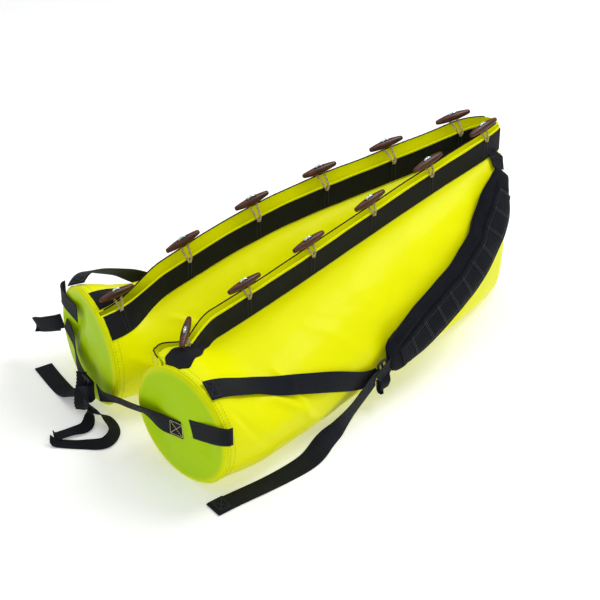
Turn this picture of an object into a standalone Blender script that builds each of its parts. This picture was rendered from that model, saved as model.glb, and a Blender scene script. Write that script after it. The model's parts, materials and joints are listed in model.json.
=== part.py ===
"""Rescue stretcher pack: one long coated-fabric tube with toggled mouth, folded in half.

Frame: metres, +Z up. +X points to the fold, the two end caps face -X, the left half lies at +Y.
Everything is built about the point on the floor under the halves' middle, then moved as one so
that the origin is the bottom centre of the whole's box.
Every wall, lip and strap is a thin closed sheet laid along the section of its tube.
"""
import bpy
import bmesh
from math import cos, hypot, pi, radians, sin, sqrt
from mathutils import Matrix, Vector

# Driving dimensions
HALF_LENGTH = 0.455          # end cap to fold is twice this
CAP_RADIUS = 0.120
CAP_OFFSET = 0.157           # cap centres from the centre plane
SPLAY = radians(7.7)         # turn of each cap away from square
SLIT_LEAN = radians(27.0)    # the mouth's start, leaning inward from the cap's top
SLIT_HALF_GAP = 0.0045
CLOTH = 0.002
WEBBING = 0.002
GAP = 0.0003
SEWN_GAP = 0.0022            # under a band, whose flat strips cross the twisted lip
LIP = 0.056                  # height of the loose lip beside the mouth
LIP_CUT = 0.0034             # slot between a lip and its wall
LIP_COLUMNS = 5              # strips of cloth across a lip
EDGE = 1e-6                  # keeps an arc that counts back from the inner edge off zero
BAND_TOP = 0.0035
BAND_WIDTH = 0.049
CAP_BEND = 0.17              # stations over which the round end becomes a teardrop
NOSE_START = 0.93            # station where the walls start to close round the fold
NOSE_GAP = 0.0016            # half the gap between the halves at the fold
NOSE_DEPTH = 0.0090
NOSE_RISE = 0.02
BAND_START = 0.014
NEAR_LIP_END = 0.131         # the wall keeps its lips from the cap to here, and again at the fold
LIP_START = 0.135            # stations between which a lip hangs on its own hinge
LIP_END = 0.858
FOLD_LIP_START = 0.862
FLAT_BELOW = 0.004           # wall this low rests flat on the floor
SAMPLES = 96
STRAP_WIDTH = 0.040
END_STRAP_WIDTH = 0.038
TOGGLE_LENGTH = 0.080
TOGGLE_RADIUS = 0.0068
TOGGLE_LIFT = 0.0128         # toggle's axis above the far lip's edge
TOGGLE_STATIONS = {
    "right": [0.080 + 0.1735 * k for k in range(6)],
    "left": [0.048 + 0.1760 * k for k in range(6)],
}
CORD_RADIUS = 0.0016
CORD_SPREAD = 0.011

BOX_BOTTOM_CENTRE = Vector((-0.0710, 0.0292, 0.0))

SIDES = {"right": -1.0, "left": 1.0}
FOLD = Vector((HALF_LENGTH + 0.0045, 0.0, 0.0))
NORMAL_STEP = 0.004
SECTIONS = {}


def smooth(t):
    t = min(1.0, max(0.0, t))
    return t * t * (3.0 - 2.0 * t)


def through(*knots):
    """A smooth curve through (station, value) knots."""
    def value(s):
        i = 0
        while i < len(knots) - 2 and s > knots[i + 1][0]:
            i += 1
        (s0, v0), (s1, v1) = knots[i], knots[i + 1]
        before = knots[max(i - 1, 0)]
        after = knots[min(i + 2, len(knots) - 1)]
        m0 = (v1 - before[1]) / (s1 - before[0]) * (s1 - s0)
        m1 = (after[1] - v0) / (after[0] - s0) * (s1 - s0)
        t = min(1.0, max(0.0, (s - s0) / (s1 - s0)))
        return ((2 * t**3 - 3 * t**2 + 1) * v0 + (t**3 - 2 * t**2 + t) * m0
                + (3 * t**2 - 2 * t**3) * v1 + (t**3 - t**2) * m1)
    return value


LIP_AT_CAP = {"right": 0.070, "left": 0.108}      # near lip's distance from the centre plane at the cap
LIP_AT_FOLD = {"right": 0.0165, "left": 0.028}    # and at the fold
LIP_DRAW_IN = {"right": 1.2, "left": 2.0}         # power with which it draws in towards the fold
CAP_TOP = CAP_RADIUS * (1 + cos(SLIT_LEAN))
FOLD_HEIGHT = pi * CAP_RADIUS - 0.009             # half the cap's girth, less the turn of the fold
# Step from the near lip to the far lip, across the mouth and up
FAR_STEP = {
    "right": (through((0, -0.012), (0.5, -0.0105), (1, -0.009)), through((0, 0.006), (1, 0.006))),
    "left": (through((0, 0.020), (0.5, 0.023), (0.9, 0.024), (1, 0.020)),
             through((0, 0.012), (0.5, 0.013), (1, 0.010))),
}
# The widest reach of the outer wall, of the inner wall, and the height of both
OUTER_REACH = through((0, 0.277), (0.1, 0.268), (0.3, 0.235), (0.5, 0.198), (0.7, 0.163), (0.85, 0.128),
                      (0.93, 0.098), (1, 0.075))
INNER_REACH = through((0, 0.037), (0.25, 0.012), (0.5, 0.004), (0.9, 0.0016), (1, 0.0016))
REACH_HEIGHT = through((0, 0.11), (0.5, 0.10), (1, 0.14))


# ---------------------------------------------------------------- sections

def near_lip(side, s):
    """Distance from the centre plane and height of the near lip's edge, from cap to fold."""
    reach, end = LIP_AT_CAP[side], LIP_AT_FOLD[side]
    distance = reach + (end - reach) * s ** LIP_DRAW_IN[side]
    if side == "right":
        low, high = CAP_TOP + 0.008, FOLD_HEIGHT
        return distance, low + (high - low) * (s - 0.2 * sin(2 * pi * s) / (2 * pi))
    low, high = CAP_TOP - 0.002, FOLD_HEIGHT - 0.002
    return distance, low + (high - low) * s + 0.0455 * sin(pi * s) ** 2 * (1 - s)


def lip_edges(side, s):
    """Outer and inner lip edge as (distance from the centre plane, height)."""
    near = near_lip(side, s)
    far = (near[0] + FAR_STEP[side][0](s), near[1] + FAR_STEP[side][1](s))
    return (near, far) if side == "right" else (far, near)


def quarter(centre, first, last, power, count=14):
    """Points of a quarter superellipse about centre, after first and up to last."""
    points = []
    for i in range(1, count + 1):
        angle = i / count * pi / 2
        u = max(0.0, cos(angle)) ** (2 / power)
        v = sin(angle) ** (2 / power)
        points.append(tuple(c + (a - c) * u + (b - c) * v for c, a, b in zip(centre, first, last)))
    return points


def arc_lengths(points):
    lengths = [0.0]
    for a, b in zip(points, points[1:]):
        lengths.append(lengths[-1] + hypot(b[0] - a[0], b[1] - a[1]))
    return lengths


def point_along(points, lengths, target):
    k = 0
    while k < len(points) - 2 and lengths[k + 1] < target:
        k += 1
    t = (target - lengths[k]) / max(1e-9, lengths[k + 1] - lengths[k])
    return tuple(a + (b - a) * t for a, b in zip(points[k], points[k + 1]))


def evenly(points):
    lengths = arc_lengths(points)
    return [point_along(points, lengths, lengths[-1] * i / SAMPLES) for i in range(SAMPLES + 1)]


def round_section():
    """The round end, from the slit over the outer side and under, back to the slit."""
    gap = SLIT_HALF_GAP / CAP_RADIUS
    start = pi / 2 - SLIT_LEAN + gap
    sweep = 2 * pi - 2 * gap
    angles = [start + sweep * i / SAMPLES for i in range(SAMPLES + 1)]
    return [(CAP_OFFSET - CAP_RADIUS * cos(a), CAP_RADIUS + CAP_RADIUS * sin(a)) for a in angles]


def teardrop_section(side, s):
    """The sagging body under its two lips, outer lip edge first."""
    (outer, outer_top), (inner, inner_top) = lip_edges(side, s)
    low, high, level = INNER_REACH(s), OUTER_REACH(s), REACH_HEIGHT(s)
    base = (low + high) / 2
    points = [(outer, outer_top), (outer, outer_top - LIP)]
    points += quarter((outer, level), (outer, outer_top - LIP), (high, level), 1.75)
    points += quarter((base, level), (high, level), (base, 0.0), 2.5)
    points += quarter((base, level), (base, 0.0), (low, level), 2.5)
    points += quarter((inner, level), (low, level), (inner, inner_top - LIP), 1.75)
    points.append((inner, inner_top))
    return evenly(points)


def close_nose(points, s):
    """Draws the section flat against the centre plane, round the fold, and lifts its foot."""
    t = (s - NOSE_START) / (1 - NOSE_START)
    if t <= 0:
        return points
    keep = sqrt(max(0.0, 1 - t * t))
    rise = NOSE_RISE * (1 - keep)
    top = max(z for _, z in points)
    closed = []
    for i, (e, z) in enumerate(points):
        outward = 1 - smooth((i / SAMPLES - 0.46) / 0.08)
        flat = NOSE_GAP + (NOSE_DEPTH - NOSE_GAP) * outward
        closed.append((flat + (e - flat) * keep, rise + z * (top - rise) / top))
    return closed


class Section:
    """One cross-section of a tube: (distance from the centre plane, height) along its cloth."""

    def __init__(self, side, s):
        share = smooth(s / CAP_BEND)
        tear = teardrop_section(side, s)
        points = [tuple(a * (1 - share) + b * share for a, b in zip(p, q))
                  for p, q in zip(round_section(), tear)]
        points = close_nose(points, s)
        self.side = side
        self.s = s
        self.points = [(e, 0.0 if z < FLAT_BELOW else z) for e, z in points]
        self.lengths = arc_lengths(self.points)
        self.length = self.lengths[-1]

    def flat(self, arc):
        """A point at arc from the outer lip edge, or from the inner one if arc is negative."""
        target = arc if arc >= 0 else self.length + arc
        return point_along(self.points, self.lengths, min(target, self.length))

    def at(self, arc, lift=0.0):
        """World point at arc along the cloth, lifted off its outer face."""
        point = place(self.side, self.s, *self.flat(arc))
        return point + self.normal(arc) * lift if lift else point

    def normal(self, arc):
        """The cloth's outward normal in the world."""
        target = arc if arc >= 0 else self.length + arc
        step = 0.006
        before = self.at(max(EDGE, target - step))
        after = self.at(min(self.length - EDGE, target + step))
        toward_cap = section_at(self.side, max(0.0, self.s - NORMAL_STEP)).at(arc)
        toward_fold = section_at(self.side, min(1.0, self.s + NORMAL_STEP)).at(arc)
        return ((after - before).cross(toward_fold - toward_cap)).normalized() * -SIDES[self.side]


def section_at(side, s):
    key = (side, round(s, 6))
    if key not in SECTIONS:
        SECTIONS[key] = Section(side, s)
    return SECTIONS[key]


def place(side, s, e, z):
    """World point of (distance from the centre plane, height) in the section at station s."""
    axis = CAP_OFFSET * (1 - s)
    turn = SPLAY * (1 - smooth(s))
    x = -HALF_LENGTH + 2 * HALF_LENGTH * s + (e - axis) * sin(turn)
    y = axis + (e - axis) * cos(turn)
    return Vector((x, SIDES[side] * y, z))


# ---------------------------------------------------------------- solids

def material(name, colour, roughness, metallic=0.0):
    made = bpy.data.materials.new(name)
    made.use_nodes = True
    shader = made.node_tree.nodes["Principled BSDF"]
    shader.inputs["Base Color"].default_value = (*colour, 1.0)
    shader.inputs["Roughness"].default_value = roughness
    shader.inputs["Metallic"].default_value = metallic
    return made


FINISHES = {
    "cloth": ((0.83, 0.84, 0.0), 0.28),
    "webbing": ((0.012, 0.014, 0.022), 0.75),
    "padding": ((0.014, 0.016, 0.024), 0.9),
    "wood": ((0.10, 0.035, 0.02), 0.4),
    "cord": ((0.62, 0.47, 0.22), 0.8),
    "plastic": ((0.015, 0.015, 0.018), 0.45),
}


def add_object(name, mesh, finish, body):
    """Puts a mesh in the scene with its own material, under its body's empty."""
    thing = bpy.data.objects.new(name, mesh)
    bpy.context.collection.objects.link(thing)
    if mesh.materials:
        mesh.materials.clear()
    colour, roughness = FINISHES[finish]
    mesh.materials.append(material(name + "_finish", colour, roughness))
    thing.parent = body
    thing.matrix_parent_inverse = body.matrix_world.inverted()
    return thing


def mesh_from(name, vertices, faces, smooth_angle=40, closed=True):
    mesh = bpy.data.meshes.new(name)
    mesh.from_pydata([tuple(v) for v in vertices], [], faces)
    mesh.validate()
    if closed:
        work = bmesh.new()
        work.from_mesh(mesh)
        bmesh.ops.triangulate(work, faces=work.faces)
        bmesh.ops.recalc_face_normals(work, faces=work.faces)
        work.to_mesh(mesh)
        work.free()
    mesh.shade_smooth()
    mesh.set_sharp_from_angle(angle=radians(smooth_angle))
    return mesh


def sheet(name, side, stations, arcs, finish, body, outer=0.0, thickness=CLOTH, kept=None):
    """A cloth solid along a tube: its outer face is lifted by outer, its thickness goes inward."""
    sections = [section_at(side, s) for s in stations]
    rows = [[section.at(arc, outer) for arc in arcs(section)] for section in sections]
    wide = len(rows[0])
    vertices = [v for row in rows for v in row]
    faces = []
    for i in range(len(rows) - 1):
        for j in range(wide - 1):
            if kept and not kept(stations[i], stations[i + 1], j, wide - 1):
                continue
            a = i * wide + j
            faces.append((a, a + 1, a + wide + 1, a + wide))
    if side == "left":
        faces = [face[::-1] for face in faces]
    used = sorted({v for face in faces for v in face})
    slot = {v: k for k, v in enumerate(used)}
    faces = [[slot[v] for v in face] for face in faces]
    mesh = mesh_from(name, [vertices[v] for v in used], faces, 50, closed=False)
    thing = add_object(name, mesh, finish, body)
    thickener = thing.modifiers.new("thickness", "SOLIDIFY")
    thickener.thickness = thickness
    thickener.offset = -1.0
    return thing


def curve_points(points, steps):
    """A smooth path through points, with steps pieces between each pair."""
    path = []
    for i in range(len(points) - 1):
        p0 = points[max(i - 1, 0)]
        p1, p2 = points[i], points[i + 1]
        p3 = points[min(i + 2, len(points) - 1)]
        for k in range(steps):
            t = k / steps
            path.append(0.5 * ((2 * p1) + (p2 - p0) * t + (2 * p0 - 5 * p1 + 4 * p2 - p3) * t * t
                               + (3 * p1 - p0 - 3 * p2 + p3) * t**3))
    path.append(points[-1].copy())
    return path


def ribbon(name, path, across, width, thickness, finish, body):
    """A flat strap along path; across holds its width direction at each path point."""
    vertices = []
    for i, point in enumerate(path):
        along = (path[min(i + 1, len(path) - 1)] - path[max(i - 1, 0)]).normalized()
        side_way = (across[i] - along * across[i].dot(along)).normalized()
        up = along.cross(side_way).normalized()
        for a, b in ((-1, -1), (1, -1), (1, 1), (-1, 1)):
            vertices.append(point + side_way * (a * width / 2) + up * (b * thickness / 2))
    faces = [(3, 2, 1, 0)]
    for i in range(len(path) - 1):
        for k in range(4):
            a, b = i * 4 + k, i * 4 + (k + 1) % 4
            faces.append((a, b, b + 4, a + 4))
    last = (len(path) - 1) * 4
    faces.append((last, last + 1, last + 2, last + 3))
    mesh = mesh_from(name, vertices, faces)
    return add_object(name, mesh, finish, body)


def rod(name, path, radius, finish, body, sides=6):
    """A round cord along path."""
    vertices = []
    across = Vector((0, 0, 1))
    for i, point in enumerate(path):
        along = (path[min(i + 1, len(path) - 1)] - path[max(i - 1, 0)]).normalized()
        across = (across - along * across.dot(along)).normalized()
        other = along.cross(across)
        for k in range(sides):
            angle = 2 * pi * k / sides
            vertices.append(point + across * (radius * cos(angle)) + other * (radius * sin(angle)))
    faces = [tuple(range(sides - 1, -1, -1))]
    for i in range(len(path) - 1):
        for k in range(sides):
            a, b = i * sides + k, i * sides + (k + 1) % sides
            faces.append((a, b, b + sides, a + sides))
    faces.append(tuple((len(path) - 1) * sides + k for k in range(sides)))
    return add_object(name, mesh_from(name, vertices, faces), finish, body)


def lathe(name, profile, sides=12):
    """A closed turned mesh about its own X axis from (x, radius) pairs; both ends are flat."""
    vertices = []
    for x, radius in profile:
        for k in range(sides):
            angle = 2 * pi * k / sides
            vertices.append((x, radius * cos(angle), radius * sin(angle)))
    faces = [tuple(range(sides - 1, -1, -1))]
    for i in range(len(profile) - 1):
        for k in range(sides):
            a, b = i * sides + k, i * sides + (k + 1) % sides
            faces.append((a, b, b + sides, a + sides))
    faces.append(tuple((len(profile) - 1) * sides + k for k in range(sides)))
    return mesh_from(name, vertices, faces, 35)


# ---------------------------------------------------------------- tubes

def body_frame(name, origin, parent=None):
    empty = bpy.data.objects.new(name, None)
    bpy.context.collection.objects.link(empty)
    empty.location = origin
    bpy.context.view_layer.update()
    if parent:
        empty.parent = parent
        empty.matrix_parent_inverse = parent.matrix_world.inverted()
    bpy.context.view_layer.update()
    return empty


def band_arcs(way=1):
    """Where a band's columns lie, from the outer lip's edge or, with way -1, from the inner one's."""
    arcs = [BAND_TOP + BAND_WIDTH * k / 3 for k in range(4)]
    return arcs if way > 0 else [-arc for arc in reversed(arcs)]


def wall_arcs(section, count=20):
    inner = section.length - 2 * LIP
    middle = [LIP + inner * j / count for j in range(1, count)]
    return [0.0] + band_arcs() + [LIP] + middle + [-LIP] + band_arcs(-1) + [-EDGE]


NEAR_STATIONS = [BAND_START, 0.05, 0.09, NEAR_LIP_END]
LIP_STATIONS = [LIP_START, 0.17, 0.23, 0.30, 0.40, 0.50, 0.60, 0.70, 0.79, LIP_END]
NOSE_STATIONS = [FOLD_LIP_START, 0.90, 0.93, 0.95, 0.97, 0.985, 0.995, 1.0]


def tube_wall(side, body):
    stations = [0.0] + NEAR_STATIONS + LIP_STATIONS[1:-1] + NOSE_STATIONS

    def kept(station, next_station, j, count):
        is_lip = j < LIP_COLUMNS or j >= count - LIP_COLUMNS
        return not is_lip or next_station <= NEAR_LIP_END or station >= FOLD_LIP_START

    return sheet(side + "_tube_wall", side, stations, wall_arcs, "cloth", body, kept=kept)


def end_cap(side, body):
    """A shallow domed disc just outside the wall's open end."""
    sides = 48
    rings = [(0.0, CAP_RADIUS), (0.0025, CAP_RADIUS), (0.006, 0.09), (0.0075, 0.045)]
    vertices = []
    back = 3 * GAP / (2 * HALF_LENGTH)

    def ring_point(out, radius, k):
        angle = 2 * pi * k / sides
        e = CAP_OFFSET + radius * cos(angle)
        z = CAP_RADIUS + radius * sin(angle)
        z = 0.0 if z < FLAT_BELOW else z
        return place(side, -back - out / (2 * HALF_LENGTH), e, z)

    for out, radius in rings:
        vertices += [ring_point(out, radius, k) for k in range(sides)]
    vertices.append(ring_point(0.008, 0.0, 0))
    faces = [tuple(range(sides))]
    for i in range(len(rings) - 1):
        for k in range(sides):
            a, b = i * sides + k, i * sides + (k + 1) % sides
            faces.append((a, a + sides, b + sides, b))
    last = (len(rings) - 1) * sides
    faces += [(last + k, len(vertices) - 1, last + (k + 1) % sides) for k in range(sides)]
    return add_object(side + "_end_cap", mesh_from(side + "_end_cap", vertices, faces), "cloth", body)


def lip(side, which, body):
    """One loose lip of the mouth with the webbing band sewn on its outer face."""
    if which == "outer":
        arcs = [0.0] + band_arcs() + [LIP - LIP_CUT]
    else:
        arcs = [-(LIP - LIP_CUT)] + band_arcs(-1) + [-EDGE]
    name = side + "_" + which
    sheet(name + "_lip", side, LIP_STATIONS, lambda section: arcs, "cloth", body)
    sheet(name + "_band", side, LIP_STATIONS, lambda section: arcs[1:-1], "webbing", body,
          outer=SEWN_GAP + WEBBING, thickness=WEBBING)


def near_band(side, which, body):
    """The first stretch of a band, beside the cap, where its lip can't turn."""
    arcs = band_arcs() if which == "outer" else band_arcs(-1)
    sheet(f"{side}_{which}_near_band", side, NEAR_STATIONS, lambda section: arcs, "webbing", body,
          outer=SEWN_GAP + WEBBING + GAP, thickness=WEBBING)


def nose_bands(side, body):
    """The two webbing bands where they run on round the fold, outside and inside."""
    sheet(side + "_nose_band", side, NOSE_STATIONS, lambda section: band_arcs(), "webbing", body,
          outer=SEWN_GAP + WEBBING, thickness=WEBBING)
    thin = 0.001
    sheet(side + "_fold_band", side, NOSE_STATIONS, lambda section: band_arcs(-1), "webbing", body,
          outer=GAP + thin, thickness=thin)


# ---------------------------------------------------------------- toggles

def mouth_point(side, s, which, up):
    """A point above the near or far lip's edge at station s."""
    section = section_at(side, s)
    outer_is_near = side == "right"
    arc = 0.0 if (which == "near") == outer_is_near else -EDGE
    return section.at(arc) + Vector((0, 0, up))


def toggle_mesh():
    half = TOGGLE_LENGTH / 2
    profile = [(-half, 0.0035), (-half + 0.003, 0.0052), (-0.024, 0.0064), (-0.007, TOGGLE_RADIUS),
               (-0.003, 0.0054), (0.003, 0.0054), (0.007, TOGGLE_RADIUS), (0.024, 0.0064),
               (half - 0.003, 0.0052), (half, 0.0035)]
    return lathe("toggle_barrel", profile, 8)


# The toggle beside each cap is turned a little and rides higher than the others
END_TOGGLE_LIFT = 0.0205
END_TOGGLE_WAY = {"right": Vector((0.71, 0.665, 0.216)), "left": Vector((0.998, 0.050, 0.030))}


def toggle_frame(side, s):
    """The toggle's middle, and the direction of the lip's edge there."""
    if s == TOGGLE_STATIONS[side][0]:
        return mouth_point(side, s, "far", END_TOGGLE_LIFT), END_TOGGLE_WAY[side]
    centre = mouth_point(side, s, "far", TOGGLE_LIFT)
    step = 0.02
    behind = mouth_point(side, s - step, "far", TOGGLE_LIFT)
    ahead = mouth_point(side, min(1.0, s + step), "far", TOGGLE_LIFT)
    return centre, (ahead - behind).normalized()


def toggle(side, number, barrel, parent):
    s = TOGGLE_STATIONS[side][number]
    centre, along = toggle_frame(side, s)
    body = body_frame(f"{side}_toggle_{number + 1}_body", centre, parent)
    thing = add_object(f"{side}_toggle_{number + 1}", barrel.copy(), "wood", body)
    thing.matrix_world = Matrix.Translation(centre) @ along.to_track_quat("X", "Z").to_matrix().to_4x4()


def cord(side, number, body):
    """A doubled cord from the near lip's band, over the edge, to the toggle's underside."""
    s = TOGGLE_STATIONS[side][number]
    spread = CORD_SPREAD / (2 * HALF_LENGTH)
    lift = END_TOGGLE_LIFT if number == 0 else TOGGLE_LIFT
    top = mouth_point(side, s, "far", lift - TOGGLE_RADIUS - CORD_RADIUS)
    path = []
    outer_is_near = side == "right"
    for sign in (-1, 1):
        section = section_at(side, s + sign * spread)
        middle = section_at(side, s + sign * spread * 0.6)
        low = section.at(0.010 if outer_is_near else -0.010, SEWN_GAP + WEBBING + CORD_RADIUS + 0.0018)
        edge = section.at(0.001 if outer_is_near else -0.001, SEWN_GAP + WEBBING + CORD_RADIUS + 0.0012)
        above = middle.at(0.0 if outer_is_near else -EDGE) + Vector((0, 0, CORD_RADIUS + 0.0012))
        leg = [low, edge, above]
        path += leg if sign < 0 else leg[::-1]
        if sign < 0:
            path.append(top)
    rod(f"{side}_cord_{number + 1}", path, CORD_RADIUS, "cord", body)


# ---------------------------------------------------------------- shoulder straps

def laid_path(side, marks, steps=2):
    """Points and width directions of a strap along (station, arc, lift) marks on a tube's wall."""
    path = []
    facing = []
    for s, arc, lift in curve_points([Vector(mark) for mark in marks], steps):
        section = section_at(side, s)
        path.append(section.at(arc, lift))
        facing.append(section.normal(arc))
    across = []
    for i in range(len(path)):
        along = path[min(i + 1, len(path) - 1)] - path[max(i - 1, 0)]
        across.append(facing[i].cross(along).normalized())
    return path, across


def laid_strap(name, side, marks, width, thickness, finish, body, steps=2):
    path, across = laid_path(side, marks, steps)
    return ribbon(name, path, across, width, thickness, finish, body)


PAD_MARKS = [(0.962, 0.092, 0.017), (0.925, 0.125, 0.020), (0.850, 0.183, 0.022), (0.765, 0.225, 0.023),
             (0.675, 0.248, 0.023), (0.570, 0.268, 0.022), (0.492, 0.284, 0.018)]
PAD_WIDTH = 0.080
PAD_THICKNESS = 0.018
LOWER_WEB_MARKS = [(0.006, 0.112, 0.0040), (0.10, 0.150, 0.0048), (0.225, 0.230, 0.0045), (0.33, 0.268, 0.0060),
                   (0.405, 0.2985, 0.0070), (0.425, 0.301, 0.0085), (0.4325, 0.3015, 0.0120),
                   (0.426, 0.302, 0.0160)]


def shoulder_strap(side, body, tube):
    """Padded strap between an anchor below the fold's band and the near rim of the cap."""
    laid_strap(side + "_strap_anchor", side, [(0.976, 0.066, 0.0040), (0.970, 0.079, 0.0050)],
               STRAP_WIDTH, WEBBING, "webbing", tube)
    laid_strap(side + "_shoulder_pad", side, PAD_MARKS, PAD_WIDTH, PAD_THICKNESS, "padding", body, 2)
    over = PAD_THICKNESS / 2 + WEBBING / 2 + 0.0040
    web_marks = [(s, arc, lift + over) for s, arc, lift in PAD_MARKS]
    laid_strap(side + "_pad_webbing", side, web_marks, STRAP_WIDTH, WEBBING, "webbing", body, 2)
    lower_webbing(side, body)
    strap_buckle(side, body)


def strap_buckle(side, body):
    """The ladder buckle between the pad's lower end and the lower webbing."""
    laid_strap(side + "_strap_buckle", side, [(0.446, 0.301, 0.012), (0.475, 0.294, 0.016)],
               STRAP_WIDTH + 0.008, 0.007, "plastic", body, 1)


def lower_webbing(side, body):
    """Webbing from the cap's rim, through the buckle, back over itself and down to the floor."""
    path, across = laid_path(side, LOWER_WEB_MARKS, 3)
    turn = next(i for i in range(1, len(path)) if (path[i] - path[i - 1]).dot(path[1] - path[0]) < 0)
    across = [way if i < turn else across[turn - 2] for i, way in enumerate(across)]
    y = SIDES[side]
    tail = [path[-1], Vector((-0.120, 0.238 * y, 0.040)), Vector((-0.190, 0.252 * y, 0.010)),
            Vector((-0.255, 0.272 * y, 0.003)), Vector((-0.345, 0.275 * y, 0.003)),
            Vector((-0.430, 0.272 * y, 0.003)), Vector((-0.478, 0.272 * y, 0.003))]
    flat = Vector((0, -1, 0))
    twist = [across[-1], across[-1] * 0.6 + flat * 0.5, across[-1] * 0.2 + flat, flat, flat, flat, flat]
    if side == "left":
        tail, twist = tail[:-2], twist[:-2]
    path = path[:-1] + curve_points(tail, 3)
    across = across[:-1] + curve_points(twist, 3)
    ribbon(side + "_lower_webbing", path, across, STRAP_WIDTH, WEBBING, "webbing", body)


# ---------------------------------------------------------------- end straps

RIM_PATCH_HEIGHT = {"right": 0.150, "left": 0.178}


def rim_patch(side, body):
    """Webbing sewn over the cap's outer rim: on the cap, round the edge, on the wall."""
    height = RIM_PATCH_HEIGHT[side]
    points = []
    for s, reach in ((-0.011, 0.030), (-0.012, 0.065), (-0.012, 0.100), (-0.011, 0.118)):
        points.append(place(side, s, CAP_OFFSET + reach, height))
    points.append(place(side, -0.003, CAP_OFFSET + CAP_RADIUS + 0.004, height))
    points.append(place(side, 0.012, CAP_OFFSET + CAP_RADIUS + 0.0035, height))
    points.append(place(side, 0.030, CAP_OFFSET + CAP_RADIUS + 0.0040, height))
    across = [Vector((0, 0, 1))] * len(points)
    ribbon(side + "_rim_patch", points, across, STRAP_WIDTH, WEBBING, "webbing", body)


def end_straps(right_body, left_body, left_tube):
    """The adjustable strap that ties the two caps together across the gap."""
    up = Vector((0, 0, 1))
    sewn = [place("right", -0.0125, 0.140, 0.107), place("right", -0.0140, 0.110, 0.106),
            Vector((-0.482, -0.060, 0.106)), Vector((-0.486, 0.000, 0.090)),
            Vector((-0.488, 0.050, 0.074)), Vector((-0.488, 0.086, 0.063))]
    path = curve_points(sewn, 2)
    ribbon("right_end_strap", path, [up] * len(path), END_STRAP_WIDTH, WEBBING, "webbing", right_body)
    flat = Vector((-1, 0, 0))
    threaded = [place("left", -0.0125, 0.250, 0.122), place("left", -0.0135, 0.215, 0.104),
                Vector((-0.478, 0.175, 0.082)), Vector((-0.4858, 0.142, 0.066)),
                Vector((-0.4862, 0.106, 0.058)), Vector((-0.4935, 0.0995, 0.056)),
                Vector((-0.5013, 0.106, 0.053)), Vector((-0.503, 0.135, 0.034)),
                Vector((-0.500, 0.165, 0.012)), Vector((-0.497, 0.205, 0.003)),
                Vector((-0.493, 0.250, 0.003)), Vector((-0.487, 0.298, 0.003))]
    across = [up] * 7 + [up * 0.7 + flat * 0.4, up * 0.3 + flat, flat, flat, flat]
    path = curve_points(threaded, 2)
    ribbon("left_end_strap", path, curve_points(across, 2), END_STRAP_WIDTH, WEBBING, "webbing", left_body)
    buckle = [Vector((-0.4932, 0.138, 0.062)), Vector((-0.4935, 0.110, 0.058))]
    ribbon("end_strap_buckle", buckle, [up, up], END_STRAP_WIDTH + 0.010, 0.007, "plastic", left_body)
    pull_loop(left_body)
    side_handle(left_tube)


def pull_loop(body):
    """The loop that hangs from the buckle and lies on the floor before the caps."""
    points = [Vector((-0.5085, 0.108, 0.040)), Vector((-0.508, 0.083, 0.034)), Vector((-0.492, 0.052, 0.022)),
              Vector((-0.496, 0.022, 0.009)), Vector((-0.530, 0.008, 0.004)), Vector((-0.565, 0.040, 0.004)),
              Vector((-0.590, 0.082, 0.004))]
    across = [Vector((0, 0, 1)), Vector((-0.3, 0.1, 1)), Vector((-0.9, 0.3, 0.5)), Vector((-0.8, 0.6, 0)),
              Vector((0.2, 1, 0)), Vector((0.8, 0.6, 0)), Vector((0.9, 0.5, 0))]
    path = curve_points(points, 3)
    ribbon("end_pull_loop", path, curve_points(across, 3), 0.025, WEBBING, "webbing", body)


def side_handle(body):
    """A short looped tab standing off the left rim."""
    points = [Vector((-0.462, 0.286, 0.110)), Vector((-0.472, 0.312, 0.094)), Vector((-0.474, 0.334, 0.080)),
              Vector((-0.466, 0.342, 0.074))]
    ribbon("left_side_tab", curve_points(points, 2), [Vector((0.25, -0.45, -0.85))] * 7, 0.032, 0.004,
           "webbing", body)


# ---------------------------------------------------------------- assembly

def build_half(side, tube, barrel):
    tube_wall(side, tube)
    end_cap(side, tube)
    nose_bands(side, tube)
    rim_patch(side, tube)
    near_band(side, "outer", tube)
    if side == "left":
        near_band(side, "inner", tube)
    base = section_at(side, LIP_START)
    near = "outer" if side == "right" else "inner"
    for which in ("outer", "inner"):
        hinge = base.at(LIP if which == "outer" else -LIP)
        lip_body = body_frame(f"{side}_{which}_lip_body", hinge, tube)
        lip(side, which, lip_body)
        if which == near:
            near_body = lip_body
    for number, s in enumerate(TOGGLE_STATIONS[side]):
        holder = near_body if LIP_START < s < LIP_END else tube
        cord(side, number, holder)
        toggle(side, number, barrel, holder)
    anchor = section_at(side, 0.976).at(0.064)
    strap_body = body_frame(side + "_strap_body", anchor, tube)
    shoulder_strap(side, strap_body, tube)


def build():
    for thing in list(bpy.data.objects):
        bpy.data.objects.remove(thing)
    barrel = toggle_mesh()
    right = body_frame("right_half", Vector((0, 0, 0)))
    left = body_frame("left_half", FOLD, right)
    build_half("right", right, barrel)
    build_half("left", left, barrel)
    right_strap = body_frame("right_end_strap_body", place("right", -0.0125, 0.140, 0.107), right)
    left_strap = body_frame("left_end_strap_body", place("left", -0.0125, 0.250, 0.122), left)
    end_straps(right_strap, left_strap, left)
    right.location = -BOX_BOTTOM_CENTRE
    bpy.context.view_layer.update()


build()
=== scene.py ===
# Looks of the folded fabric stretcher: cloth, webbing, pads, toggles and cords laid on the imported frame.
# Lengths are metres. A point on a half is (station, arc): station 0 at the round end and 1 at the fold,
# arc along the cloth from the outer lip's edge, over the outer wall and under, to the inner lip's edge.
import json
from math import cos, pi, radians, sin, sqrt

import bmesh
import bpy
import numpy as np
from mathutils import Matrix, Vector, noise
from mathutils.bvhtree import BVHTree


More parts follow.
